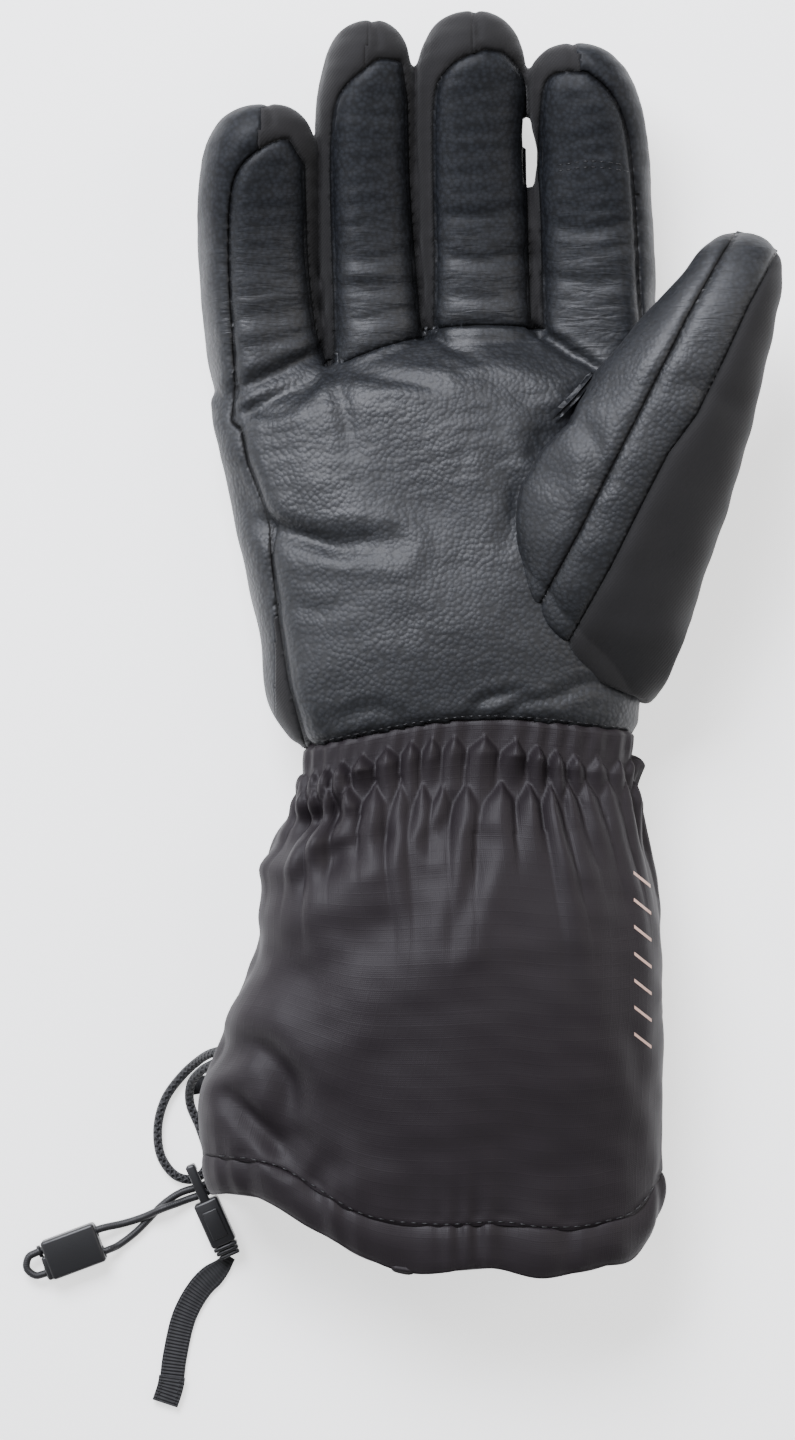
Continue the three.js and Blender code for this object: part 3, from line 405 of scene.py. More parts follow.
# Places and shapes
def plan(pixels):
    """Pixels of the photograph as millimetres on the surface the glove lies on."""
    px = np.asarray(pixels, float)
    x = (px[..., 0] - ORIGIN_PIXEL[0]) * MM_PER_PIXEL
    y = (ORIGIN_PIXEL[1] - px[..., 1]) * MM_PER_PIXEL
    return np.stack([x, y], -1)


def lookup(rows, name, at):
    """One column of a table at shares between its rows, on a smooth curve."""
    knots = np.array([row["at"] for row in rows], float)
    values = np.array([row[name] for row in rows], float)
    slopes = np.gradient(values, knots)
    at = np.clip(np.asarray(at, float), knots[0], knots[-1])
    here = np.clip(np.searchsorted(knots, at, side="right") - 1, 0, len(knots) - 2)
    step = knots[here + 1] - knots[here]
    t = (at - knots[here]) / step
    start = (1 + 2 * t) * (1 - t) ** 2 * values[here]
    leave = t * (1 - t) ** 2 * step * slopes[here]
    end = t * t * (3 - 2 * t) * values[here + 1]
    arrive = t * t * (t - 1) * step * slopes[here + 1]
    return start + leave + end + arrive


def mix(a, b, share):
    """A value between two others."""
    return a + (b - a) * share


def ramp(value, low, high):
    """0 below low, 1 above high, and a smooth step between."""
    t = np.clip((np.asarray(value, float) - low) / (high - low), 0, 1)
    return t * t * (3 - 2 * t)


def wrist_y(x):
    """Where the wrist's seam lies along the glove, over its width."""
    return PALM_LENGTH * lookup(WRIST_SEAM, "y", np.asarray(x) / PALM_WIDTH)


def crotch_y(x):
    """Where the fingers part from the palm."""
    return PALM_LENGTH * lookup(CROTCH_LINE, "y", np.asarray(x) / PALM_WIDTH)


def hem_y(x):
    """Where the hem ends."""
    return CUFF_LENGTH * lookup(HEM_LINE, "y", np.asarray(x) / CUFF_WIDTH)


def soft_ring(sides, half, rise, drop):
    """A soft rectangle: how far across and up each of its points lies from its axis."""
    angle = -2 * np.pi * np.arange(sides) / sides
    cos, sin = np.cos(angle), np.sin(angle)
    power = 2 / SQUARENESS
    across = half * np.sign(cos) * np.abs(cos) ** power
    up = np.where(sin > 0, rise, drop) * np.sign(sin) * np.abs(sin) ** power
    return across, up


def ripple(points, size, seed):
    """Smooth unevenness between about -1 and 1 with bumps of one size in millimetres."""
    turns = np.random.default_rng(seed)
    total = np.zeros(len(points))
    for _ in range(9):
        way = turns.normal(size=3)
        way *= turns.uniform(0.7, 1.4) * 2 * np.pi / (size * np.linalg.norm(way))
        total += np.sin(points @ way + turns.uniform(0, 2 * np.pi))
    return total / 3


def away_from(points, line):
    """Distance in plan from each point to a line of straight runs."""
    best = np.full(len(points), 1e9)
    for a, b in zip(line[:-1], line[1:]):
        run = b - a
        share = np.clip(((points[:, :2] - a) @ run) / (run @ run), 0, 1)
        gap = points[:, :2] - a - share[:, None] * run
        best = np.minimum(best, np.hypot(gap[:, 0], gap[:, 1]))
    return best


def curved(pixels, steps=8):
    """A line through pixels, bent smoothly and given in millimetres."""
    knots = plan(pixels)
    share = np.linspace(0, len(knots) - 1, steps * (len(knots) - 1) + 1)
    rows = [{"at": i, "x": p[0], "y": p[1]} for i, p in enumerate(knots)]
    if len(rows) < 3:
        return knots
    return np.stack([lookup(rows, "x", share), lookup(rows, "y", share)], -1)


def inside_edge(points, outline):
    """Signed distance in plan to a closed outline: below nought inside."""
    loop = np.vstack([outline, outline[:1]])
    inside = np.zeros(len(points), bool)
    x, y = points[:, 0], points[:, 1]
    for a, b in zip(loop[:-1], loop[1:]):
        crosses = (a[1] > y) != (b[1] > y)
        slope = (b[0] - a[0]) / (b[1] - a[1]) if b[1] != a[1] else 0
        inside ^= crosses & (x < a[0] + (y - a[1]) * slope)
    return np.where(inside, -1, 1) * away_from(points, loop)


def creased(points, creases):
    """How far creases press each point in, with a soft ridge beside each one."""
    total = np.zeros(len(points))
    for crease in creases:
        line = curved(crease["px"])
        wide = crease["wide"]
        ends = np.minimum(
            np.hypot(*(points[:, :2] - line[0]).T), np.hypot(*(points[:, :2] - line[-1]).T)
        )
        fade = 0.45 + 0.55 * ramp(ends, 0, 3 * wide)
        gap = away_from(points, line)
        groove = np.exp(-((gap / wide) ** 2))
        ridge = 0.2 * np.exp(-(((gap - 2.1 * wide) / (0.9 * wide)) ** 2))
        total -= crease["deep"] * fade * (groove - ridge)
    return total


# Meshes
def loft(sections, closed=True):
    """A tube: one loop of points extruded from section to section, with a UV map in millimetres."""
    bm = bmesh.new()
    order = bm.verts.layers.int.new("order")
    row = bm.verts.layers.int.new("row")
    sides = len(sections[0])
    ring = bmesh.ops.create_circle(bm, segments=sides, radius=1)["verts"]
    for index, vert in enumerate(ring):
        vert[order] = index
        vert.co = sections[0][index] * MM
    if closed:
        bm.faces.new(ring)
    edges = list(bm.edges)
    for number, section in enumerate(sections[1:], 1):
        made = bmesh.ops.extrude_edge_only(bm, edges=edges)["geom"]
        edges = [g for g in made if isinstance(g, bmesh.types.BMEdge)]
        for vert in made:
            if isinstance(vert, bmesh.types.BMVert):
                vert[row] = number
                vert.co = section[vert[order]] * MM
    if closed:
        last = sorted({v for e in edges for v in e.verts}, key=lambda v: v[order])
        bm.faces.new(last)
    uv = bm.loops.layers.uv.new("UVMap")
    middle = sections[len(sections) // 2]
    round_mm = np.linalg.norm(np.roll(middle, -1, 0) - middle, axis=1).sum()
    centres = np.array([np.mean(s, 0) for s in sections])
    run = np.concatenate([[0], np.cumsum(np.linalg.norm(np.diff(centres, axis=0), axis=1))])
    for face in bm.faces:
        orders = [loop.vert[order] for loop in face.loops]
        wraps = max(orders) - min(orders) > sides / 2
        for loop, place in zip(face.loops, orders):
            turn = place + sides if wraps and place < sides / 2 else place
            loop[uv].uv = (turn / sides * round_mm, run[loop.vert[row]])
    bmesh.ops.recalc_face_normals(bm, faces=bm.faces)
    return bm


def finished(name, bm, material, nodes=()):
    """Makes a mesh into a named piece that rides on the glove."""
    mesh = bpy.data.meshes.new(name)
    bm.to_mesh(mesh)
    bm.free()
    piece = bpy.data.objects.new(name, mesh)
    bpy.context.scene.collection.objects.link(piece)
    mesh.polygons.foreach_set("use_smooth", [True] * len(mesh.polygons))
    mesh.materials.append(material)
    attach(piece, "root")
    if nodes:
        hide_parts(*nodes)
    return piece


def walled(piece, thickness):
    """Gives a skin its wall, on the inner side."""
    wall = piece.modifiers.new("Wall", "SOLIDIFY")
    wall.thickness = thickness
    wall.offset = -1


def merged(meshes):
    """Several meshes as one, without joining their surfaces."""
    whole = bmesh.new()
    for bm in meshes:
        mesh = bpy.data.meshes.new("part")
        bm.to_mesh(mesh)
        bm.free()
        whole.from_mesh(mesh)
        bpy.data.meshes.remove(mesh)
    return whole


def remeshed(bm, voxel, rounds):
    """One even skin over all that the mesh holds, smoothed."""
    mesh = bpy.data.meshes.new("skin")
    bm.to_mesh(mesh)
    bm.free()
    holder = bpy.data.objects.new("skin", mesh)
    bpy.context.scene.collection.objects.link(holder)
    skin = holder.modifiers.new("Skin", "REMESH")
    skin.mode = "VOXEL"
    skin.voxel_size = voxel
    relax = holder.modifiers.new("Relax", "SMOOTH")
    relax.factor = 0.5
    relax.iterations = rounds
    bpy.context.view_layer.update()
    shape = holder.evaluated_get(bpy.context.evaluated_depsgraph_get())
    result = bmesh.new()
    result.from_mesh(shape.to_mesh())
    shape.to_mesh_clear()
    bpy.data.objects.remove(holder)
    bpy.data.meshes.remove(mesh)
    return result


def arrays(bm):
    """The points of a mesh in millimetres, and which way its surface faces there."""
    bm.normal_update()
    points = np.array([v.co for v in bm.verts]) / MM
    normals = np.array([v.normal for v in bm.verts])
    return points, normals


def put_back(bm, points):
    """Moves a mesh's points to new places given in millimetres."""
    for vert, point in zip(bm.verts, points * MM):
        vert.co = point


def relaxed(bm, factor):
    """Draws each point towards its neighbours once."""
    bmesh.ops.smooth_vert(
        bm, verts=bm.verts, factor=factor, use_axis_x=True, use_axis_y=True, use_axis_z=True
    )


def onto_line(points, movable, field):
    """Slides points onto the line where a field is nought, so that a seam is a clean curve."""
    step = 0.05
    for _ in range(3):
        here = points[movable]
        value = field(here)
        slope = np.stack(
            [(field(here + step * way) - value) / step for way in np.eye(3)], -1
        )
        size = np.maximum((slope**2).sum(-1), 0.2)
        move = -(value / size)[:, None] * slope
        length = np.maximum(np.linalg.norm(move, axis=-1, keepdims=True), 1e-9)
        points[movable] = here + move * np.minimum(1, 0.8 / length)


# Hand
def finger_stack():
    """The four fingers side by side, with their widths, places and lengths in millimetres."""
    gaps = FINGER_GAP * (len(FINGERS) - 1)
    left = STACK_CENTRE * PALM_WIDTH
    left -= (sum(f["width"] for f in FINGERS) * FINGER_WIDTH + gaps) / 2
    stack = []
    for finger in FINGERS:
        width = finger["width"] * FINGER_WIDTH
        place = {"x": left + width / 2, "width": width, "length": finger["length"] * FINGER_LENGTH}
        place["crotch"] = float(crotch_y(place["x"] + finger["base"] * width))
        stack.append({**finger, **place})
        left += width + FINGER_GAP
    return stack


def finger_middle(finger, at):
    """Where a finger's axis lies at shares of its length: across, along and up."""
    t = np.clip(at, -0.1, 1)
    bow = finger["base"] * (1 - t) * (1 - 2 * t) + finger["tip"] * t * (2 * t - 1)
    x = finger["x"] + bow * finger["width"]
    y = finger["crotch"] + finger["length"] * np.asarray(at, float)
    z = FINGER_HEIGHT / 2 + 1 + FINGERTIP_LIFT * np.maximum(0, at) ** 1.5
    return x, y, z


def root_width(at):
    """Share of its full width that a finger has at its root, where it is a little narrower."""
    return mix(0.94, 1, ramp(at, ROOT_START, 0.12))


def finger_size(at):
    """Share of its full width that a finger has, rounding off towards its tip."""
    tip = np.clip((np.asarray(at, float) - TIP_START) / (1 - TIP_START), 0, 1)
    return root_width(at) * (1 - tip**TIP_ROUND) ** (1 / TIP_ROUND)


def finger_local(finger, points):
    """Share along a finger, millimetres across it and up out of it, and its half width."""
    at = (points[:, 1] - finger["crotch"]) / finger["length"]
    x, _, z = finger_middle(finger, at)
    roll = math.radians(finger["roll"])
    dx, dz = points[:, 0] - x, points[:, 2] - z
    across = dx * math.cos(roll) - dz * math.sin(roll)
    up = dx * math.sin(roll) + dz * math.cos(roll)
    half = finger["width"] / 2 * root_width(at)
    return at, across, up, half


def finger_loft(finger):
    """One finger from inside the palm to its tip, rolled and bent as it lies."""
    roll = math.radians(finger["roll"])
    sections = []
    straight = np.linspace(ROOT_START, TIP_START, 40)
    rounded = TIP_START + 0.298 * np.sin(np.linspace(0.1, 1.57, 22))
    for at in np.concatenate([straight, rounded]):
        x, y, z = finger_middle(finger, at)
        size = float(finger_size(at))
        half = finger["width"] / 2 * size
        tall = FINGER_HEIGHT / 2 * mix(1, size, 0.9)
        across, up = soft_ring(FINGER_SIDES, half, tall, tall)
        ring = np.stack(
            [
                x + across * math.cos(roll) + up * math.sin(roll),
                np.full(FINGER_SIDES, float(y)),
                z - across * math.sin(roll) + up * math.cos(roll),
            ],
            -1,
        )
        slit = math.exp(-(((y - PARTING["y"]) / PARTING["long"]) ** 2))
        if finger["name"] in PARTING:
            inward = PARTING[finger["name"]]
            ring[:, 0] += slit * inward * np.clip(-across * np.sign(inward) / half, 0, 1)
        ring[:, 2] = np.maximum(ring[:, 2], 0)
        sections.append(ring)
    return loft(sections)


def palm_sides(at):
    """The palm's left and right edges at shares of its length, and its rise over its middle."""
    left = lookup(PALM_ROWS, "left", at) * PALM_WIDTH
    right = lookup(PALM_ROWS, "right", at) * PALM_WIDTH
    rise = lookup(PALM_ROWS, "top", at) * PALM_HEIGHT - PALM_MIDDLE
    return left, right, rise


def palm_share(points):
    """How far each point lies from the wrist's seam towards the fingers: 0 to 1."""
    x, y = points[:, 0], points[:, 1]
    return (y - wrist_y(x)) / (crotch_y(x) - wrist_y(x))


def palm_loft():
    """The palm from inside the cuff to the fingers' roots, flat where it rests."""
    sections = []
    for at in np.linspace(-0.08, 1, 60):
        left, right, rise = palm_sides(at)
        across, up = soft_ring(120, (right - left) / 2, rise, PALM_MIDDLE + FLOOR_PRESS)
        x = (left + right) / 2 + across
        y = mix(wrist_y(x), crotch_y(x), at)
        sections.append(np.stack([x, y, np.maximum(0, PALM_MIDDLE + up)], -1))
    return loft(sections)


def front_field(points):
    """Signed distance to the seam round the front and back panels: below nought on them."""
    fields = [inside_edge(points, curved(edge, 3)) for edge in FRONT_EDGES[1:]]
    return np.minimum.reduce([inside_edge(points, plan(FRONT_EDGES[0])), *fields])


def middle_level(points):
    """Height of the hand's middle, where the palm side turns into the back."""
    level = np.full(len(points), PALM_MIDDLE)
    nearest = np.full(len(points), 1e9)
    for finger in finger_stack():
        at, across, up, _ = finger_local(finger, points)
        here = (at > -0.25) & (np.abs(across) < nearest)
        level = np.where(here, points[:, 2] - up, level)
        nearest = np.where(here, np.abs(across), nearest)
    return level


def base_field(points, name):
    """Distance in plan past a finger's base seam: above nought on the finger's side."""
    line = plan(BASE_SEAMS[name])
    y = np.interp(points[:, 0], line[:, 0], line[:, 1])
    return points[:, 1] - y


def finger_number(points):
    """How many fingers' middle lines lie to the left of each point."""
    count = np.zeros(len(points), int)
    for finger in finger_stack():
        at = (points[:, 1] - finger["crotch"]) / finger["length"]
        count += points[:, 0] > finger_middle(finger, at)[0]
    return count


def hand_labels(points):
    """Number of the panel that each point lies on, in the order of HAND_NODES."""
    names = list(HAND_NODES)
    sides = ["outer_strip", "fourchette_little_ring", "fourchette_ring_middle"]
    sides += ["fourchette_middle_index", "index_strip"]
    number = finger_number(points)
    labels = np.choose(number, [names.index(n) for n in sides])
    beside = np.hypot(*(points[:, :2] - plan(THUMB_WEB["px"])).T)
    lower = THUMB_WEB["lower"] * np.exp(-((beside / THUMB_WEB["wide"]) ** 2))
    level = middle_level(points) - lower
    on_front = (front_field(points) < 0) & (points[:, 2] > level)
    on_back = (front_field(points) < 0) & ~on_front
    labels[on_front] = names.index("palm_panel")
    labels[on_back] = names.index("back_panel")
    for finger in finger_stack():
        if finger["name"] in BASE_SEAMS:
            _, across, _, half = finger_local(finger, points)
            own = on_front & (base_field(points, finger["name"]) > 0) & (np.abs(across) < half)
            labels[own] = names.index(finger["name"] + "_front")
    return labels


def seam_relief(field, deep):
    """A stitched seam pulls in along its line and the padding swells beside it."""
    groove = np.exp(-((field / 0.6) ** 2)) + 0.45 * np.exp(-((field / 1.8) ** 2))
    swell = 0.3 * np.exp(-(((np.abs(field) - 4.5) / 3.4) ** 2))
    return deep * (swell - 0.75 * groove)


def mark_seams(bm, gap):
    """Keeps how near each point is to a seam, for the shadow and the pulled look beside it."""
    layer = bm.verts.layers.float.new("seam")
    for vert, value in zip(bm.verts, np.exp(-((gap / 0.55) ** 2))):
        vert[layer] = value


def hand_relief(points, normals):
    """Seams, creases and padding of the hand, as millimetres along the surface's normal."""
    deep = settings().seam_depth / MM
    top = ramp(normals[:, 2], -0.15, 0.35)
    relief = seam_relief(front_field(points), deep)
    for finger in finger_stack():
        at, across, _, half = finger_local(finger, points)
        tip = np.where(at > 0.9, np.abs(across), 9)
        relief -= 0.6 * deep * np.exp(-((tip / 0.9) ** 2))
        if finger["name"] in BASE_SEAMS:
            past = base_field(points, finger["name"])
            own = (np.abs(across) < half * 0.95) * top
            relief += own * seam_relief(past, deep)
    relief += top * creased(points, CREASES)
    relief += 0.13 * ripple(points, 18, 1) + 0.05 * ripple(points, 7, 2) * top
    fine = ramp(points[:, 1], 40, 110)
    stretched = points * np.array([0.35, 1, 0.35])
    relief += 0.07 * top * fine * ripple(stretched, 4.5, 3)
    edge = points[:, 1] - wrist_y(points[:, 0])
    relief -= 1.6 * np.exp(-((edge / 2) ** 2))
    return relief * ramp(points[:, 2], 0.3, 2.5)


def split_panels(bm, labels_of, fields):
    """Gives each face its panel's number and draws the points between panels onto the seams."""
    bm.faces.ensure_lookup_table()
    bm.verts.ensure_lookup_table()
    bm.verts.index_update()
    points, _ = arrays(bm)
    faces = np.array([[v.index for v in f.verts][:4] for f in bm.faces])
    labels = labels_of(points[faces].mean(1))
    low = np.full(len(points), FAR_OFF)
    high = np.full(len(points), -1)
    for corner in range(4):
        np.minimum.at(low, faces[:, corner], labels)
        np.maximum.at(high, faces[:, corner], labels)
    between = low != high
    for field in fields:
        close = between & (np.abs(field(points)) < 1.2)
        onto_line(points, close, field)
    put_back(bm, points)
    return labels


def panel_piece(name, bm, labels, number, material, nodes):
    """One panel cut out of the skin, given its wall."""
    layer = bm.faces.layers.int.get("panel") or bm.faces.layers.int.new("panel")
    bm.faces.ensure_lookup_table()
    for face, label in zip(bm.faces, labels):
        face[layer] = int(label)
    part = bm.copy()
    layer = part.faces.layers.int.get("panel")
    others = [f for f in part.faces if f[layer] != number]
    bmesh.ops.delete(part, geom=others, context="FACES")
    piece = finished(name, part, material, nodes)
    walled(piece, settings().wall)


SKINS = {}


def on_surface(tree, x, y, lift=0.0):
    """The topmost place of a surface over a point in plan, lifted off it where asked."""
    start = Vector((x * MM, y * MM, WELL_ABOVE))
    hit, normal, _, _ = tree.ray_cast(start, Vector((0, 0, -1)))
    if hit is None:
        return None
    if normal.z < 0:
        normal = -normal
    return hit + normal * lift * MM


def stitched(name, tree, line, length, gap, radius):
    """A row of sewn threads along a line in plan, each a small rounded bead laid on the cloth."""
    bm = bmesh.new()
    runs = np.linalg.norm(np.diff(line, axis=0), axis=1)
    along = np.concatenate([[0], np.cumsum(runs)])
    place = 0
    while place + length < along[-1]:
        ends = []
        for at in (place, place + length):
            x, y = np.interp(at, along, line[:, 0]), np.interp(at, along, line[:, 1])
            ends.append(on_surface(tree, x, y, THREAD_LIFT))
        place += length + gap
        if None in ends or (ends[1] - ends[0]).length > 3 * length * MM:
            continue
        bead = bmesh.ops.create_icosphere(bm, subdivisions=1, radius=radius * MM)["verts"]
        run = ends[1] - ends[0]
        turn = run.to_track_quat("X", "Z").to_matrix()
        stretch = run.length / (2 * radius * MM)
        bmesh.ops.scale(bm, vec=(stretch, 1, 0.7), verts=bead)
        bmesh.ops.rotate(bm, matrix=turn, verts=bead)
        bmesh.ops.translate(bm, vec=(ends[0] + ends[1]) / 2, verts=bead)
    return finished(name, bm, thread_material())


def build_hand():
    """Skin of the palm and fingers, its seams and creases, cut into panels."""
    parts = [palm_loft()] + [finger_loft(f) for f in finger_stack()]
    bm = remeshed(merged(parts), settings().voxel, 10)
    points, normals = arrays(bm)
    points += normals * hand_relief(points, normals)[:, None]
    points[:, 2] = np.maximum(points[:, 2], 0)
    put_back(bm, points)
    relaxed(bm, 0.3)
    points, _ = arrays(bm)
    past = points[:, 1] < wrist_y(points[:, 0])
    bm.verts.ensure_lookup_table()
    bmesh.ops.delete(bm, geom=[bm.verts[i] for i in np.flatnonzero(past)], context="VERTS")
    fields = [
        front_field,
        lambda p: np.where(p[:, 2] > PALM_MIDDLE, base_field(p, "ring"), FAR_OFF),
        lambda p: np.where(p[:, 2] > PALM_MIDDLE, base_field(p, "middle"), FAR_OFF),
    ]
    labels = split_panels(bm, hand_labels, fields)
    points, _ = arrays(bm)
    mark_seams(bm, np.abs(front_field(points)))
    SKINS["hand"] = BVHTree.FromBMesh(bm)
    x = np.linspace(-46, 45, 400)
    path = np.stack([x, wrist_y(x) + 1.5], -1)
    stitched("wrist_stitches", SKINS["hand"], path, 1.7, 0.6, 0.2)
    doubled = curved([(556, 176), (590, 173), (628, 177)])
    for number, shift in enumerate((0, 1.6)):
        line = doubled + np.array([0, shift])
        name = f"index_stitches_{number}"
        stitched(name, SKINS["hand"], line, 1.6, 0.7, 0.17)
    leather, softshell = leather_material(), softshell_material()
    for number, (name, nodes) in enumerate(HAND_NODES.items()):
        skin = leather if name in LEATHER_PANELS else softshell
        panel_piece(name + "_skin", bm, labels, number, skin, nodes)
    bm.free()


# Thumb
THUMB_ALONG = np.array([math.sin(THUMB_LEAN), math.cos(THUMB_LEAN), 0])
THUMB_ACROSS = np.array([math.cos(THUMB_LEAN), -math.sin(THUMB_LEAN), 0])


def thumb_local(points):
    """Millimetres that each point lies across the thumb's middle and above it."""
    flat = points - np.array([*THUMB_ROOT, 0])
    at = flat @ THUMB_ALONG / THUMB_LENGTH
    across = flat @ THUMB_ACROSS - lookup(THUMB_ROWS, "side", at) * THUMB_WIDTH
    up = points[:, 2] - lookup(THUMB_ROWS, "level", at) * PALM_HEIGHT
    return across, up


def thumb_loft():
    """The thumb from inside the palm to its tip."""
    sections = []
    for share in np.linspace(0, 1, 70):
        at = float(np.sin(share * np.pi / 2) ** 1.1)
        half = max(1.2, lookup(THUMB_ROWS, "half", at) * THUMB_WIDTH)
        tall = max(1.2, lookup(THUMB_ROWS, "rise", at) * THUMB_HEIGHT)
        across, up = soft_ring(80, half, tall, tall)
        side = lookup(THUMB_ROWS, "side", at) * THUMB_WIDTH + across
        middle = np.array([*THUMB_ROOT, 0]) + at * THUMB_LENGTH * THUMB_ALONG
        ring = middle + side[:, None] * THUMB_ACROSS
        ring[:, 2] = np.maximum(1, lookup(THUMB_ROWS, "level", at) * PALM_HEIGHT + up)
        sections.append(ring)
    return loft(sections)


def thumb_seam(points, name):
    """Signed distance in plan to one of the thumb's seams: above nought on the back's side."""
    line = plan(THUMB_LINES[name])[::-1]
    return (points[:, 0] - np.interp(points[:, 1], line[:, 1], line[:, 0])) * 0.88


def palm_top(points):
    """Height of the palm's plain shape over each point in plan."""
    left, right, rise = palm_sides(palm_share(points))
    u = np.clip(np.abs(points[:, 0] - (left + right) / 2) / ((right - left) / 2), 0, 1)
    return PALM_MIDDLE + rise * (1 - u**SQUARENESS) ** (1 / SQUARENESS)


def hand_top(points):
    """Height of the finished hand's skin over each point, or of its plain shape beside it."""
    heights = palm_top(points)
    tree = SKINS.get("hand")
    if tree:
        for number, (x, y, _) in enumerate(points):
            spot = on_surface(tree, x, y)
            if spot:
                heights[number] = spot.z / MM
    return heights


def rooted(points, top):
    """The thumb's skin, swelling out of the palm along the root seam and nowhere past it."""
    far = plan([(800, 716), (800, 180), (712, 222), (640, 300)])
    root = np.vstack([plan(THUMB_ROOT_SEAM), far])
    within = -inside_edge(points, root)
    palm = palm_top(points)
    swell = palm + 5 * (1 - np.exp(-np.maximum(within, 0) / 3.2)) - 0.8
    share = top * (palm > PALM_MIDDLE + 2)
    z = points[:, 2]
    under = np.minimum(palm, hand_top(points)) - 0.8 + 1.3 * np.minimum(within, 0)
    raised = np.where(within > 0, np.maximum(z, swell), np.minimum(z, under))
    points[:, 2] = z + (raised - z) * share
    edge = plan(THUMB_OUTER_EDGE)[::-1]
    limit = np.interp(points[:, 1], edge[:, 1], edge[:, 0])
    over = (points[:, 0] > limit) & (points[:, 1] < plan((0, 440))[1])
    points[:, 0] = np.where(over, limit + 0.15 * (points[:, 0] - limit), points[:, 0])


def thumb_labels(points):
    """0 on the palm side's panel, 1 on the strip between the seams, 2 on the back's panel."""
    across, up = thumb_local(points)
    under = up < 0
    first = np.where(under, across, thumb_seam(points, "first"))
    second = np.where(under, across, thumb_seam(points, "second"))
    return (first > 0).astype(int) + (second > 0).astype(int)


def build_thumb():
    """The thumb's three panels, round one padded skin."""
    bm = remeshed(thumb_loft(), settings().voxel, 8)
    points, normals = arrays(bm)
    top = ramp(normals[:, 2], -0.1, 0.35)
    deep = settings().seam_depth / MM
    relief = 0.2 * ripple(points, 15, 4) + top * creased(points, THUMB_CREASES)
    for name in ("first", "second"):
        relief += top * seam_relief(thumb_seam(points, name), deep)
    across, up = thumb_local(points)
    relief += (1 - top) * (up < 0) * seam_relief(across, deep)
    rooted(points, top)
    points += normals * relief[:, None]
    points[:, 2] = np.maximum(points[:, 2], 1)
    put_back(bm, points)
    relaxed(bm, 0.5)
    points, _ = arrays(bm)
    deep_in = (inside_hand(points) < -6) & (points[:, 2] < hand_top(points) - 3)
    bm.verts.ensure_lookup_table()
    bmesh.ops.delete(bm, geom=[bm.verts[i] for i in np.flatnonzero(deep_in)], context="VERTS")
    fields = [lambda p: thumb_seam(p, "first"), lambda p: thumb_seam(p, "second")]
    labels = split_panels(bm, thumb_labels, fields)
    points, _ = arrays(bm)
    mark_seams(bm, np.minimum.reduce([np.abs(field(points)) for field in fields]))
    names = ["thumb_front", "thumb_strip", "thumb_back"]
    for number, name in enumerate(names):
        leather = name != "thumb_back"
        material = leather_material() if leather else softshell_material()
        panel_piece(name + "_skin", bm, labels, number, material, [name])
    bm.free()


def inside_hand(points):
    """About how deep each point lies inside the palm: below nought inside."""
    left, right, rise = palm_sides(palm_share(points))
    half = (right - left) / 2
    tall = np.where(points[:, 2] > PALM_MIDDLE, rise, PALM_MIDDLE + FLOOR_PRESS)
    u = np.abs(points[:, 0] - (left + right) / 2) / half
    v = np.abs(points[:, 2] - PALM_MIDDLE) / tall
    ring = (u**SQUARENESS + v**SQUARENESS) ** (1 / SQUARENESS) - 1
    return ring * np.minimum(half, tall)


# Cuff
def cuff_section(at, sides):
    """One ring of the cuff at a share of its length, and which way it faces at each point."""
    left = lookup(CUFF_ROWS, "left", at) * CUFF_WIDTH
    right = lookup(CUFF_ROWS, "right", at) * CUFF_WIDTH
    half = (right - left) / 2
    rise = lookup(CUFF_ROWS, "top", at) * CUFF_HEIGHT - CUFF_MIDDLE
    across, up = soft_ring(sides, half, rise, CUFF_MIDDLE + FLOOR_PRESS)
    x = (left + right) / 2 + across
    y = mix(wrist_y(x) - 0.5, hem_y(x), at)
    section = np.stack([x, y, CUFF_MIDDLE + up], -1)
    outward = np.stack([across / half**2, np.zeros(sides), up / rise**2], -1)
    outward /= np.linalg.norm(outward, axis=1, keepdims=True)
    return section, outward


def even_ring(section, outward):
    """The same section with its points spaced evenly round it, and each one's share of the way."""
    loop = np.vstack([section, section[:1]])
    runs = np.linalg.norm(np.diff(loop[:, [0, 2]], axis=0), axis=1)
    along = np.concatenate([[0], np.cumsum(runs)])
    share = np.arange(len(section)) / len(section)
    place = share * along[-1]
    ways = np.vstack([outward, outward[:1]])
    ring = np.stack([np.interp(place, along, loop[:, k]) for k in range(3)], -1)
    out = np.stack([np.interp(place, along, ways[:, k]) for k in range(3)], -1)
    return ring, out / np.linalg.norm(out, axis=1, keepdims=True), share


def gather_height(down, share):
    """How far the gathered cloth stands out so far below the wrist seam, all the way round."""
    sway = 0.2 * np.sin(2 * np.pi * 3 * share + 1) + 0.19 * np.sin(2 * np.pi * 7 * share)
    total = np.zeros(len(share))
    for row in GATHER_ROWS:
        lean = 0.012 * (down - 15) * np.sin(2 * np.pi * 4 * share + 1)
        turn = GATHERS * share + sway + lean + row["phase"]
        number = np.round(turn)
        chance = np.sin(number * 12.9898 + 4 * row["phase"])
        top = row["top"] + 2.3 * chance
        here = (down - top) / (row["full"] - row["top"])
        open_up = ramp(here, -0.15, 1.25)
        reach = row["end"] * (1 + 0.34 * np.sin(number * 4.3 + row["phase"]))
        past = np.clip((down - row["full"]) / (reach - row["full"]), 0, 1)
        wide = 0.5 * open_up * (1 - (0.5 if row["end"] < 30 else 0) * past**2)
        off = np.abs(turn - number - 0.1 * chance) / np.maximum(wide, 0.02)
        dome = np.clip(1 - off**1.6, 0, 1) ** 0.8
        fade = (1 - past) ** 1.5
        uneven = 1 + 0.42 * np.sin(number * 7.1 + 2)
        total = np.maximum(total, row["high"] * uneven * dome * open_up**0.4 * fade)
    seam_folds = 0.45 * np.cos(2 * np.pi * (GATHERS * share + sway))
    seam_folds *= math.exp(-(((down - 3) / 5) ** 2))
    level = 1.7 * (1 - float(ramp(down, 14, 60)))
    return total - level + seam_folds


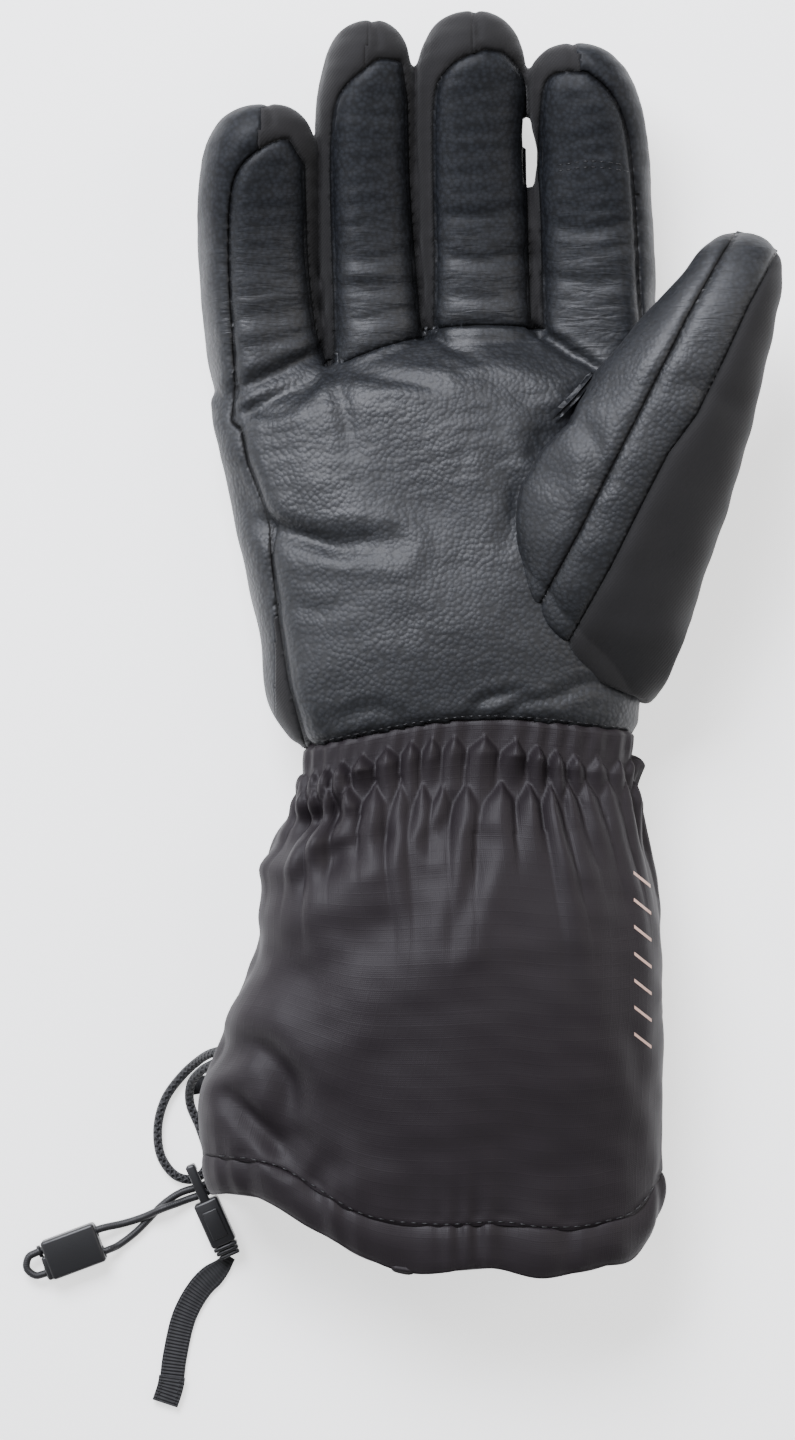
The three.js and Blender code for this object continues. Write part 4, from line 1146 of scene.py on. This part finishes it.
def puckers(share):
    """The uneven puckers that the drawcord leaves round the hem."""
    turn = 33 * share + 0.5 * np.sin(2 * np.pi * 4 * share) + 0.3 * np.sin(2 * np.pi * 9 * share)
    size = 0.55 + 0.45 * np.sin(2 * np.pi * 5 * share + 1)
    return size * np.sin(2 * np.pi * turn) + 0.4 * np.sin(2 * np.pi * 13 * share + 2)


def cuff_relief(points, outward, at, share):
    """Folds of the cuff's cloth and the puckers over its hem, as millimetres outwards."""
    top = ramp(outward[:, 2], -0.1, 0.3)
    relief = top * creased(points, CUFF_FOLDS)
    loose = float(ramp(at, 0.1, 0.35))
    relief += loose * (0.5 * ripple(points * [1, 0.5, 1], 34, 5) + 0.14 * ripple(points, 11, 6))
    above = (1 - HEM_WIDTH / CUFF_LENGTH - at) * CUFF_LENGTH
    if above > 0:
        relief += 0.75 * puckers(share) * math.exp(-above / 6)
        relief -= 0.8 * math.exp(-((above / 1.2) ** 2))
    return relief


def cuff_rows(start, end, count):
    """Rings of the gathered cuff between two shares of its length."""
    sections = []
    for at in np.linspace(start, end, count):
        ring, out, share = even_ring(*cuff_section(at, CUFF_SIDES))
        down = at * CUFF_LENGTH * 1.12
        stand = gather_height(down, share) + cuff_relief(ring, out, float(at), share)
        ring = ring + out * stand[:, None]
        ring[:, 2] = np.maximum(ring[:, 2], 0)
        sections.append(ring)
    return sections


def build_gauntlet():
    """The gathered cuff from the wrist seam to the hem's seam."""
    end = 1 - HEM_WIDTH / CUFF_LENGTH
    rows = cuff_rows(0.0, GATHERED_END, 56) + cuff_rows(GATHERED_END + 0.004, end, 60)
    tuck = rows[0].copy()
    middle = tuck.mean(0)
    tuck += (middle - tuck) * np.array([0.08, 0, 0.16]) + np.array([0, 5, 0])
    bm = loft([tuck, *rows], closed=False)
    SKINS["gauntlet"] = BVHTree.FromBMesh(bm)
    piece = finished("gauntlet_cloth", bm, ripstop_material(), ["gauntlet"])
    walled(piece, CUFF_WALL * MM)


def build_hem():
    """The turned hem that holds the drawcord."""
    start = 1 - HEM_WIDTH / CUFF_LENGTH
    sections = []
    for share in np.linspace(0, 1, 26):
        at = mix(start - 0.004, 1, share)
        ring, out, turn = even_ring(*cuff_section(at, HEM_SIDES))
        puff = 1.5 * math.sin(math.pi * min(1, share * 1.04)) ** 0.6 - 0.5
        stand = puff + 0.85 * puckers(turn) * (1 - 0.55 * share) + cuff_relief(ring, out, 1, turn)
        ring = ring + out * stand[:, None]
        ring[:, 1] += share * 0.9 * np.sin(2 * np.pi * 9 * turn + 1) * ramp(out[:, 2], -0.5, 0.5)
        ring[:, 2] = np.maximum(ring[:, 2], 0)
        sections.append(ring)
    for inset, back in ((1.2, 0.4), (2.4, 0.2), (3, 1.5), (3.2, 5), (3, 10)):
        ring, out, _ = even_ring(*cuff_section(1, HEM_SIDES))
        ring = ring - out * inset
        ring[:, 1] += back
        ring[:, 2] = np.maximum(ring[:, 2], 0.4 + inset / 2)
        sections.append(ring)
    bm = loft(sections, closed=False)
    piece = finished("hem_cloth", bm, ripstop_material(), ["hem_casing"])
    walled(piece, HEM_WALL * MM)
    x = np.linspace(-70, 51, 500)
    y = mix(wrist_y(x) - 0.5, hem_y(x), start) + 0.9
    path = np.stack([x, y], -1)
    stitched("hem_stitches", SKINS["gauntlet"], path, 2.2, 0.8, 0.22)


# Cords
def route(points, steps):
    """A smooth curve through points, as many even steps along it, in millimetres."""
    knots = np.array(points, float)
    gaps = np.sqrt(np.linalg.norm(np.diff(knots, axis=0), axis=1))
    at = np.concatenate([[0], np.cumsum(gaps)])
    rows = [{"at": a, "x": p[0], "y": p[1], "z": p[2]} for a, p in zip(at, knots)]
    fine = np.linspace(0, at[-1], steps * 6)
    dense = np.stack([lookup(rows, axis, fine) for axis in "xyz"], -1)
    run = np.concatenate([[0], np.cumsum(np.linalg.norm(np.diff(dense, axis=0), axis=1))])
    even = np.linspace(0, run[-1], steps)
    return np.stack([np.interp(even, run, dense[:, k]) for k in range(3)], -1), run[-1]


def tube(path, radius, sides=16):
    """A round tube along a path, whose rings turn as little as they can."""
    ways = np.gradient(path, axis=0)
    ways /= np.linalg.norm(ways, axis=1, keepdims=True)
    side = np.cross(ways[0], [0, 0, 1.0])
    angle = 2 * np.pi * np.arange(sides) / sides
    sections = []
    for point, way in zip(path, ways):
        side = side - way * (side @ way)
        side /= np.linalg.norm(side)
        up = np.cross(side, way)
        ring = np.outer(np.cos(angle), side) + np.outer(np.sin(angle), up)
        sections.append(point + radius * ring)
    return loft(sections)


def from_anchor(anchor, points):
    """A cord's points, given from its anchor, in the glove's own place."""
    return [(anchor[0] + x, anchor[1] + y, z) for x, y, z in points]


def band(path, width, thick, narrow=0):
    """A flat woven band along a path, drawn together over its first points where asked."""
    ways = np.gradient(path, axis=0)
    sections = []
    full = width
    for number, (point, way) in enumerate(zip(path, ways)):
        width = full * (mix(0.55, 1, float(ramp(number, 0, narrow))) if narrow else 1)
        side = np.array([way[1], -way[0], 0])
        side /= np.linalg.norm(side)
        angle = 2 * np.pi * np.arange(20) / 20
        power = 2 / 6
        across = width / 2 * np.sign(np.cos(angle)) * np.abs(np.cos(angle)) ** power
        up = thick / 2 * np.sign(np.sin(angle)) * np.abs(np.sin(angle)) ** power
        sections.append(point + across[:, None] * side + up[:, None] * np.array([0, 0, 1.0]))
    return loft(sections)


def build_leash():
    """The braided loop at the cuff's side, the tab that holds it, the clip and its webbing."""
    path, length = route(from_anchor(LEASH_EXIT, LEASH_POINTS), 150)
    bm = tube(path, LEASH_DIAMETER * CORD_RADIUS)
    loop = finished("leash_cord", bm, braid_material(), ["leash_loop"])
    tab_path, _ = route(from_anchor(LEASH_EXIT, TAB_POINTS), 24)
    finished("leash_tab_band", band(tab_path, 5, 1.2), webbing_material(), ["leash_tab"])
    clip = build_clip()
    build_webbing()


def block(size, bevel, segments=3):
    """A box with rounded edges, its base on the surface."""
    bm = bmesh.new()
    bmesh.ops.create_cube(bm, size=1)
    bmesh.ops.scale(bm, vec=[s * MM for s in size], verts=bm.verts)
    bmesh.ops.translate(bm, vec=(0, 0, size[2] / 2 * MM), verts=bm.verts)
    edges = list(bm.edges)
    bmesh.ops.bevel(
        bm, geom=edges, offset=bevel * MM, segments=segments, profile=0.5,
        affect="EDGES", material=-1,
    )
    return bm


def moved(bm, vec=(0, 0, 0), turn=0.0, place=None):
    """The same mesh, shifted, then turned about the upright axis and set down at its place."""
    bmesh.ops.translate(bm, vec=[v * MM for v in vec], verts=bm.verts)
    if turn:
        bmesh.ops.rotate(bm, matrix=Matrix.Rotation(turn, 3, "Z"), verts=bm.verts)
    if place:
        bmesh.ops.translate(bm, vec=(place[0] * MM, place[1] * MM, 0), verts=bm.verts)
    return bm


def build_clip():
    """A moulded clip: a body with a hook over the cord and a ribbed end for the webbing."""
    long, wide, high = CLIP_SIZE
    half = long / 2
    parts = [block((long, wide, high), 0.8)]
    parts.append(moved(block((long * 0.62, wide * 0.62, 0.7), 0.3), (0.4, 0, high - 0.3)))
    low = high * 0.58
    stem = block((HOOK_REACH + 1.5, 2.8, 2.4), 0.7)
    parts.append(moved(stem, (-half - HOOK_REACH / 2 + 0.75, 0, low)))
    tip = block((2.4, 2.8, low + 2), 0.7)
    parts.append(moved(tip, (-half - HOOK_REACH + 1.2, 0, 0.35)))
    for index in range(3):
        rib = block((1.0, wide * (0.96 - 0.06 * index), high * (0.92 - 0.09 * index) - 1.4), 0.3, 2)
        parts.append(moved(rib, (half + 0.75 + index * 1.3, 0, 1.4)))
    core = block((4.2, wide * 0.66, high * 0.62 - 1.4), 0.4, 2)
    parts.append(moved(core, (half + 1.6, 0, 1.4)))
    for part in parts:
        moved(part, turn=CLIP_TURN, place=CLIP_PLACE)
    return finished("hook_clip_body", merged(parts), plastic_material(), ["hook_clip"])


def build_webbing():
    """The flat strap below the clip, with its end turned over and sewn down."""
    half = WEBBING_THICK / 2
    points = [(HEM_CORNER[0] + x, HEM_CORNER[1] + y, half) for x, y in WEBBING_POINTS]
    path, length = route(points, 90)
    parts = [band(path, WEBBING_WIDTH * 0.93, WEBBING_THICK, narrow=16)]
    tail = path[-16:] + np.array([0, 0, WEBBING_THICK * 0.92])
    parts.append(band(tail, WEBBING_WIDTH, WEBBING_THICK))
    bm = merged(parts)
    tree = BVHTree.FromBMesh(bm)
    piece = finished("webbing_band", bm, webbing_material(), ["webbing_leash"])
    side = np.array([tail[-1][1] - tail[0][1], tail[0][0] - tail[-1][0]])
    side /= np.linalg.norm(side)
    for number, shift in enumerate((-0.32, 0.32)):
        line = tail[:, :2] + side * shift * WEBBING_WIDTH
        name = f"webbing_stitches_{number}"
        stitched(name, tree, line, 1.1, 0.5, 0.17)


def lock_point(along, side, z=LOCK_SIZE[2] / 2):
    """A place in the cord lock, as the glove's own place."""
    x = LOCK_PLACE[0] + along * math.cos(LOCK_TURN) - side * math.sin(LOCK_TURN)
    y = LOCK_PLACE[1] + along * math.sin(LOCK_TURN) + side * math.cos(LOCK_TURN)
    return (x, y, z)


def build_drawcord():
    """The elastic that runs from the hem through the cord lock and back."""
    half = LOCK_BORE_SPACING / 2
    long = LOCK_SIZE[0]
    inside = [0.58, 0.2, -0.2, -0.55]
    out = [lock_point(share * long, half) for share in inside]
    back = [lock_point(share * long, -half) for share in reversed(inside)]
    bend = [math.radians(d) for d in (30, 90, 150)]
    turn = [lock_point(-0.6 * long - half * math.sin(a), half * math.cos(a)) for a in bend]
    upper = from_anchor(HEM_CORNER, UPPER_STRAND)
    lower = from_anchor(HEM_CORNER, LOWER_STRAND)[::-1]
    path, length = route([*upper, *out, *turn, *back, *lower], 260)
    bm = tube(path, ELASTIC_DIAMETER * CORD_RADIUS, 12)
    cord = finished("elastic_cord", bm, elastic_material(), ["elastic_drawcord"])
    lock = build_lock()


def build_lock():
    """A flat moulded cord lock with softened edges and a short round collar at each end of the
    cord's two runs through it.
    """
    long, wide, high = LOCK_SIZE
    body = block((long - 1.2, wide, high), 1, 4)
    step = block((2.4, wide * 0.6, high * 0.8), 0.6, 3)
    parts = [moved(body, (0.6, 0, 0)), moved(step, (-long / 2 + 1.2, -wide * 0.17, high * 0.1))]
    for side in (-1, 1):
        for end in (-1, 1):
            ends = [end * (long / 2 + past) for past in (-0.7, 0.15, 0.25)]
            path = np.array([[x, side * LOCK_BORE_SPACING / 2, high / 2] for x in ends])
            parts.append(tube(path, 1.75, 20))
    for part in parts:
        moved(part, turn=LOCK_TURN, place=LOCK_PLACE)
    return finished("cord_lock_body", merged(parts), plastic_material(), ["cord_lock"])


# Materials
def fill(tree, node, inputs):
    """Sets a node's inputs, or links them where the value is another node's output."""
    for socket, value in inputs.items():
        if isinstance(value, bpy.types.NodeSocket):
            tree.links.new(value, node.inputs[socket])
        else:
            node.inputs[socket].default_value = value


def add(tree, kind, inputs=(), **choices):
    """Adds one node, makes its choices, and sets or links its inputs."""
    node = tree.nodes.new(kind)
    for name, value in choices.items():
        setattr(node, name, value)
    fill(tree, node, dict(inputs))
    return node


def shade(colour, share):
    """A colour made lighter or darker by a share."""
    return [c * share for c in colour[:3]] + [1]


def new_material(name):
    """A new material, its node tree and its shader."""
    material = bpy.data.materials.new(name)
    material.use_nodes = True
    tree = material.node_tree
    return material, tree, tree.nodes["Principled BSDF"]


MADE = {}


def once(make):
    """Makes a material the first time it is asked for."""

    def fetch():
        name = make.__name__
        if name not in MADE:
            MADE[name] = make()
        return MADE[name]

    return fetch


def reckon(tree, operation, *values):
    """The result of one sum on shader values."""
    inputs = dict(enumerate(values))
    return add(tree, "ShaderNodeMath", inputs, operation=operation).outputs["Value"]


def remap(tree, value, low, high, start=0.0, end=1.0):
    """A value carried from one range to another, and held at its ends."""
    inputs = {"Value": value, "From Min": low, "From Max": high, "To Min": start, "To Max": end}
    return add(tree, "ShaderNodeMapRange", inputs).outputs["Result"]


def noise(tree, place, across, detail, **more):
    """Noise in patches of about so many millimetres."""
    inputs = {"Vector": place, "Scale": 1 / (across * MM), "Detail": detail, **more}
    return add(tree, "ShaderNodeTexNoise", inputs).outputs["Fac"]


def blend(tree, share, first, second):
    """One colour turning into another."""
    inputs = {0: share, 6: first, 7: second}
    return add(tree, "ShaderNodeMix", inputs, data_type="RGBA").outputs[2]


def raised(tree, relief, height, strength):
    """The normals of a relief so many millimetres high."""
    inputs = {"Height": relief, "Distance": height * MM, "Strength": strength}
    return add(tree, "ShaderNodeBump", inputs).outputs["Normal"]


def coordinates(tree, kind):
    """Where a point lies: kind is Object or UV."""
    return add(tree, "ShaderNodeTexCoord").outputs[kind]


def split(tree, vector):
    """A vector's three parts."""
    return add(tree, "ShaderNodeSeparateXYZ", {"Vector": vector}).outputs


def seam_shadow(tree, colour):
    """The same colour, dark down in the stitched seams."""
    seam = add(tree, "ShaderNodeAttribute", attribute_name="seam").outputs["Fac"]
    return blend(tree, seam, colour, linear("#060607"))


def leather_relief(tree, place, valley):
    """Pebbles on the palm, and wrinkles across the fingers, where they are stretched smooth."""
    along = split(tree, place)["Y"]
    finger = remap(tree, along, 108 * MM, 122 * MM)
    bend = remap(tree, along, 165 * MM, 128 * MM, 0.15, 1.0)
    long = add(tree, "ShaderNodeMapping", {"Vector": place, "Scale": (0.22, 1, 0.4)})
    wrinkle = noise(tree, long.outputs["Vector"], 1.9, 2.0, Distortion=0.6)
    pebble = remap(tree, finger, 0.0, 1.0, 1.0, 0.3)
    grain = reckon(tree, "MULTIPLY", valley, pebble)
    fold = reckon(tree, "MULTIPLY", reckon(tree, "MULTIPLY", finger, bend), wrinkle)
    return reckon(tree, "MULTIPLY_ADD", fold, 4.0, grain)


@once
def leather_material():
    """Drum-dyed goatskin, embossed with a pebble grain: dark, with a soft broken shine."""
    material, tree, shader = new_material("goatskin")
    place = coordinates(tree, "Object")
    # Grain cells are about 0.9 mm across, drawn a little coarser than real so that they show.
    cells = add(
        tree,
        "ShaderNodeTexVoronoi",
        {"Vector": place, "Scale": 1 / (1.25 * MM), "Smoothness": 0.35},
        feature="SMOOTH_F1",
    )
    broad = noise(tree, place, 22, 4.0)
    valley = remap(tree, cells.outputs["Distance"], 0.75, 0.2)
    skin = settings().leather
    # Painted shade: the grain's hollows are coloured darker. The broad noise varies the leather's
    # own tone at random.
    grain_shade_and_tone = blend(tree, valley, shade(skin, 0.55), blend(tree, broad, skin, shade(skin, 1.7)))
    # The leather is drawn tight and dull over the fingertips.
    dull = remap(tree, split(tree, place)["Y"], 128 * MM, 156 * MM, 0.5, 0.2)
    coat = {
        "Base Color": seam_shadow(tree, grain_shade_and_tone),
        "Roughness": remap(tree, broad, 0.3, 0.7, 0.5, 0.62),
        "Specular IOR Level": dull,
        "Normal": raised(tree, leather_relief(tree, place, valley), 0.2, 0.5),
    }
    fill(tree, shader, coat)
    return material


@once
def softshell_material():
    """Brushed stretch softshell: matt, with a faint twill and a soft bloom at grazing angles."""
    material, tree, shader = new_material("stretch_softshell")
    place = coordinates(tree, "Object")
    turned = add(tree, "ShaderNodeMapping", {"Vector": place, "Rotation": (0, 0, math.radians(40))})
    # Twill ridges are drawn 0.7 mm apart, twice the real spacing, so that they show.
    twill = add(
        tree,
        "ShaderNodeTexWave",
        {
            "Vector": turned.outputs["Vector"],
            "Scale": 1 / (0.7 * MM) / 3.2,
            "Distortion": 1.2,
            "Detail": 1.0,
        },
    )
    fuzz = noise(tree, place, 0.6, 4.0)
    relief = reckon(tree, "MULTIPLY_ADD", twill.outputs["Fac"], 0.5, fuzz)
    cloth = settings().softshell
    tint = blend(tree, noise(tree, place, 18, 3.0), cloth, shade(cloth, 1.6))
    coat = {
        "Base Color": seam_shadow(tree, tint),
        "Roughness": 0.82,
        "Specular IOR Level": 0.35,
        "Sheen Weight": 0.06,
        "Normal": raised(tree, relief, 0.12, 0.5),
    }
    fill(tree, shader, coat)
    return material


@once
def ripstop_material():
    """Coated nylon ripstop: a fine grid of thicker yarns, a low sheen, and a few printed bars."""
    material, tree, shader = new_material("coated_ripstop")
    weave = split(tree, coordinates(tree, "UV"))
    place = coordinates(tree, "Object")
    ridges = []
    # The cloth is mapped in millimetres: yarns 0.55 mm apart, thicker ones every 3.2 mm.
    for axis in ("X", "Y"):
        for pitch, sharp in ((0.55, 1), (3.2, 14)):
            turn = reckon(tree, "MULTIPLY", weave[axis], 2 * math.pi / pitch)
            half = reckon(tree, "MULTIPLY_ADD", reckon(tree, "COSINE", turn), 0.5, 0.5)
            ridges.append(reckon(tree, "POWER", half, sharp))
    yarns = reckon(tree, "MULTIPLY", ridges[0], ridges[2])
    grid = reckon(tree, "MAXIMUM", ridges[1], ridges[3])
    relief = reckon(tree, "MULTIPLY_ADD", grid, 0.8, yarns)
    cloth = settings().nylon
    tint = blend(tree, noise(tree, place, 30, 4.0), cloth, shade(cloth, 1.35))
    coat = {
        "Base Color": blend(tree, printed_bars(tree, place), tint, settings().print_colour),
        "Roughness": 0.56,
        "Specular IOR Level": 0.22,
        "Normal": raised(tree, relief, 0.1, 0.28),
    }
    fill(tree, shader, coat)
    return material


def printed_bars(tree, place):
    """1 on the printed bars near the gauntlet's thumb side, 0 elsewhere."""
    at = split(tree, place)
    low, high = (plan((PRINT["px"], y))[1] * MM for y in (PRINT["bottom"], PRINT["top"]))
    middle = plan((PRINT["px"], 0))[0] * MM
    slant = reckon(tree, "MULTIPLY_ADD", at["X"], PRINT["slant"], at["Y"])
    part = reckon(tree, "FRACT", reckon(tree, "DIVIDE", slant, PRINT["spacing"] * MM))
    mask = reckon(tree, "LESS_THAN", part, PRINT["share"])
    for other in (
        reckon(tree, "COMPARE", at["X"], middle, PRINT["wide"] / 2 * MM),
        reckon(tree, "COMPARE", at["Y"], (low + high) / 2, (high - low) / 2),
        reckon(tree, "GREATER_THAN", at["Z"], CUFF_MIDDLE * MM),
    ):
        mask = reckon(tree, "MULTIPLY", mask, other)
    return mask


@once
def webbing_material():
    """Woven polyester webbing: ribs across it, dull, and slightly lighter on their crowns, a
    painted highlight.
    """
    material, tree, shader = new_material("polyester_webbing")
    weave = split(tree, coordinates(tree, "UV"))
    ribs, ends = (
        reckon(tree, "SINE", reckon(tree, "MULTIPLY", weave[axis], 2 * math.pi / pitch))
        for axis, pitch in (("Y", 0.95), ("X", 1.2))
    )
    relief = reckon(tree, "MULTIPLY_ADD", ends, 0.4, ribs)
    crown = reckon(tree, "MULTIPLY_ADD", relief, 0.3, 0.5)
    coat = {
        "Base Color": blend(tree, crown, settings().cord, shade(settings().cord, 2.2)),
        "Roughness": 0.7,
        "Normal": raised(tree, relief, 0.16, 0.8),
    }
    fill(tree, shader, coat)
    return material


@once
def braid_material():
    """Braided polyester cord: strands cross in small diamonds that catch the light."""
    material, tree, shader = new_material("braided_cord")
    weave = split(tree, coordinates(tree, "UV"))
    round_mm = math.pi * LEASH_DIAMETER
    crossings = []
    for way in (-1, 1):
        turn = reckon(tree, "MULTIPLY", weave["X"], way * 2 * math.pi * 4 / round_mm)
        turn = reckon(tree, "MULTIPLY_ADD", weave["Y"], 2 * math.pi / 1.9, turn)
        crossings.append(reckon(tree, "SINE", turn))
    relief = reckon(tree, "MAXIMUM", *crossings)
    crown = reckon(tree, "MULTIPLY_ADD", relief, 0.5, 0.5)
    dark, light = shade(settings().cord, 0.5), shade(settings().cord, 2.4)
    coat = {
        "Base Color": blend(tree, crown, dark, light),
        "Roughness": 0.6,
        "Normal": raised(tree, relief, 0.25, 0.9),
    }
    fill(tree, shader, coat)
    return material


@once
def elastic_material():
    """Fine-knit elastic cord: nearly smooth, with a soft shine along it."""
    material, tree, shader = new_material("elastic_knit")
    # Knit loops are drawn 0.6 mm apart, so that they show.
    knit = add(
        tree,
        "ShaderNodeTexWave",
        {
            "Vector": coordinates(tree, "UV"),
            "Scale": 1 / 0.6 / 3.2,
            "Distortion": 2.0,
            "Detail": 1.0,
        },
        wave_type="BANDS",
        bands_direction="Y",
    ).outputs["Fac"]
    # Painted highlight: the knit's raised loops are coloured lighter than the cord.
    coat = {
        "Base Color": blend(tree, knit, settings().cord, shade(settings().cord, 1.5)),
        "Roughness": 0.5,
        "Normal": raised(tree, knit, 0.08, 0.6),
    }
    fill(tree, shader, coat)
    return material


@once
def plastic_material():
    """Moulded acetal: a fine matt texture, with edges that take a soft highlight."""
    material, tree, shader = new_material("moulded_acetal")
    place = coordinates(tree, "Object")
    grain, broad = noise(tree, place, 0.35, 2.0), noise(tree, place, 5, 3.0)
    coat = {
        "Base Color": blend(tree, broad, settings().plastic, shade(settings().plastic, 1.3)),
        "Roughness": 0.38,
        "Normal": raised(tree, grain, 0.04, 0.5),
    }
    fill(tree, shader, coat)
    return material


@once
def thread_material():
    """Bonded polyester thread: twisted, a little shinier than the cloth it lies on."""
    material, tree, shader = new_material("bonded_thread")
    twist = noise(tree, coordinates(tree, "Object"), 0.4, 2.0)
    tint = blend(tree, twist, settings().cord, shade(settings().cord, 1.8))
    fill(tree, shader, {"Base Color": tint, "Roughness": 0.45})
    return material


@once
def floor_material():
    """Seamless white card: matt, with the faintest tooth."""
    material, tree, shader = new_material("white_card")
    tooth = noise(tree, coordinates(tree, "Object"), 3, 2.0)
    coat = {
        "Base Color": blend(tree, tooth, linear("#f4f4f4"), linear("#f7f7f7")),
        "Roughness": 0.9,
        "Emission Color": linear("#ffffff"),
        "Emission Strength": 1.3,
    }
    fill(tree, shader, coat)
    return material


# Stage: the lights' places and sizes in metres and their power in watts.
SOFTBOXES = [
    {
        "name": "key_softbox", "place": (-0.45, 0.85, 1.05), "aim": (0, 0.04, 0),
        "size": (0.9, 0.7), "power": 46, "colour": "#f4f6ff",
    },
    {
        "name": "left_softbox", "place": (-1.1, -0.1, 0.6), "aim": (0, 0, 0),
        "size": (0.4, 1.2), "power": 4, "colour": "#f6f8ff",
    },
    {
        "name": "right_softbox", "place": (1.0, 0.3, 0.9), "aim": (0, 0, 0),
        "size": (0.4, 1.0), "power": 7, "colour": "#fffaf5",
    },
]
CAMERA_DISTANCE = 1.3
FLOOR_HALF = 3
FLOOR_DROP = 0.0002


def area_light(name, place, aim, size, power, colour):
    """A rectangular softbox at a place, turned to what it lights."""
    light = bpy.data.lights.new(name, "AREA")
    light.shape = "RECTANGLE"
    light.size, light.size_y = size
    light.energy = power
    light.color = linear(colour)[:3]
    holder = bpy.data.objects.new(name, light)
    bpy.context.scene.collection.objects.link(holder)
    holder.location = place
    holder.rotation_euler = (Vector(aim) - Vector(place)).to_track_quat("-Z", "Y").to_euler()


def build_stage():
    """A white floor, soft studio lights and a camera straight above the glove."""
    bm = bmesh.new()
    bmesh.ops.create_grid(bm, x_segments=8, y_segments=8, size=FLOOR_HALF)
    mesh = bpy.data.meshes.new("floor")
    bm.to_mesh(mesh)
    bm.free()
    floor = bpy.data.objects.new("floor", mesh)
    bpy.context.scene.collection.objects.link(floor)
    mesh.transform(Matrix.Translation((0, 0, -FLOOR_DROP)))
    mesh.materials.append(floor_material())

    world = bpy.data.worlds.new("studio")
    bpy.context.scene.world = world
    world.use_nodes = True
    sky = world.node_tree.nodes["Background"]
    fill(world.node_tree, sky, {"Color": linear("#ffffff"), "Strength": 0.32})
    for light in SOFTBOXES:
        area_light(**light)

    width, height = IMAGE_PIXELS
    centre = plan((width / 2, height / 2)) * MM
    tall = height * MM_PER_PIXEL * MM
    level = CUFF_MIDDLE * MM
    camera = bpy.data.cameras.new("camera")
    camera.sensor_fit = "VERTICAL"
    camera.sensor_height = 24
    camera.lens = camera.sensor_height * CAMERA_DISTANCE / tall
    camera.clip_start = 0.01
    holder = bpy.data.objects.new("camera", camera)
    bpy.context.scene.collection.objects.link(holder)
    holder.location = (centre[0], centre[1], CAMERA_DISTANCE + level)
    bpy.context.scene.camera = holder


class GLOVE_OT_stage(bpy.types.Operator):
    """Set the floor, the lights and the camera"""

    bl_idname = "glove.stage"
    bl_label = "Stage"

    def execute(self, context):
        build_stage()
        return {"FINISHED"}


class GLOVE_OT_leash(bpy.types.Operator):
    """Make the leash loop, its tab, the clip and the webbing"""

    bl_idname = "glove.leash"
    bl_label = "Leash and clip"

    def execute(self, context):
        build_leash()
        return {"FINISHED"}


class GLOVE_OT_drawcord(bpy.types.Operator):
    """Make the hem's elastic and its cord lock"""

    bl_idname = "glove.drawcord"
    bl_label = "Drawcord and lock"

    def execute(self, context):
        build_drawcord()
        return {"FINISHED"}


class GLOVE_OT_hand(bpy.types.Operator):
    """Make the panels of the palm, the back and the fingers"""

    bl_idname = "glove.hand"
    bl_label = "Hand"

    def execute(self, context):
        build_hand()
        return {"FINISHED"}


class GLOVE_OT_thumb(bpy.types.Operator):
    """Make the thumb's panels"""

    bl_idname = "glove.thumb"
    bl_label = "Thumb"

    def execute(self, context):
        build_thumb()
        return {"FINISHED"}


class GLOVE_OT_gauntlet(bpy.types.Operator):
    """Make the gathered gauntlet"""

    bl_idname = "glove.gauntlet"
    bl_label = "Gauntlet"

    def execute(self, context):
        build_gauntlet()
        return {"FINISHED"}


class GLOVE_OT_hem(bpy.types.Operator):
    """Make the hem that holds the drawcord"""

    bl_idname = "glove.hem"
    bl_label = "Hem"

    def execute(self, context):
        build_hem()
        return {"FINISHED"}


class GLOVE_PT_pieces(bpy.types.Panel):
    """Lists the glove's pieces"""

    bl_idname = "GLOVE_PT_pieces"
    bl_label = "Winter glove"
    bl_space_type = "VIEW_3D"
    bl_region_type = "UI"
    bl_category = "Glove"

    def draw(self, context):
        for name in ("voxel", "seam_depth", "wall", "leather", "softshell", "nylon", "plastic"):
            self.layout.prop(context.scene.glove, name)
        for name in ("cord", "print_colour"):
            self.layout.prop(context.scene.glove, name)
        for operator in OPERATORS:
            self.layout.operator(operator.bl_idname)


OPERATORS = (
    GLOVE_OT_stage,
    GLOVE_OT_leash,
    GLOVE_OT_drawcord,
    GLOVE_OT_hand,
    GLOVE_OT_thumb,
    GLOVE_OT_gauntlet,
    GLOVE_OT_hem,
)
CLASSES = (GloveSettings, *OPERATORS, GLOVE_PT_pieces)


def register():
    for cls in CLASSES:
        bpy.utils.register_class(cls)
    bpy.types.Scene.glove = bpy.props.PointerProperty(type=GloveSettings)


def unregister():
    del bpy.types.Scene.glove
    for cls in reversed(CLASSES):
        bpy.utils.unregister_class(cls)


def main():
    register()
    bpy.ops.glove.stage()
    bpy.ops.glove.leash()
    bpy.ops.glove.drawcord()
    bpy.ops.glove.hand()
    bpy.ops.glove.thumb()
    bpy.ops.glove.gauntlet()
    bpy.ops.glove.hem()


if __name__ == "__main__":
    main()
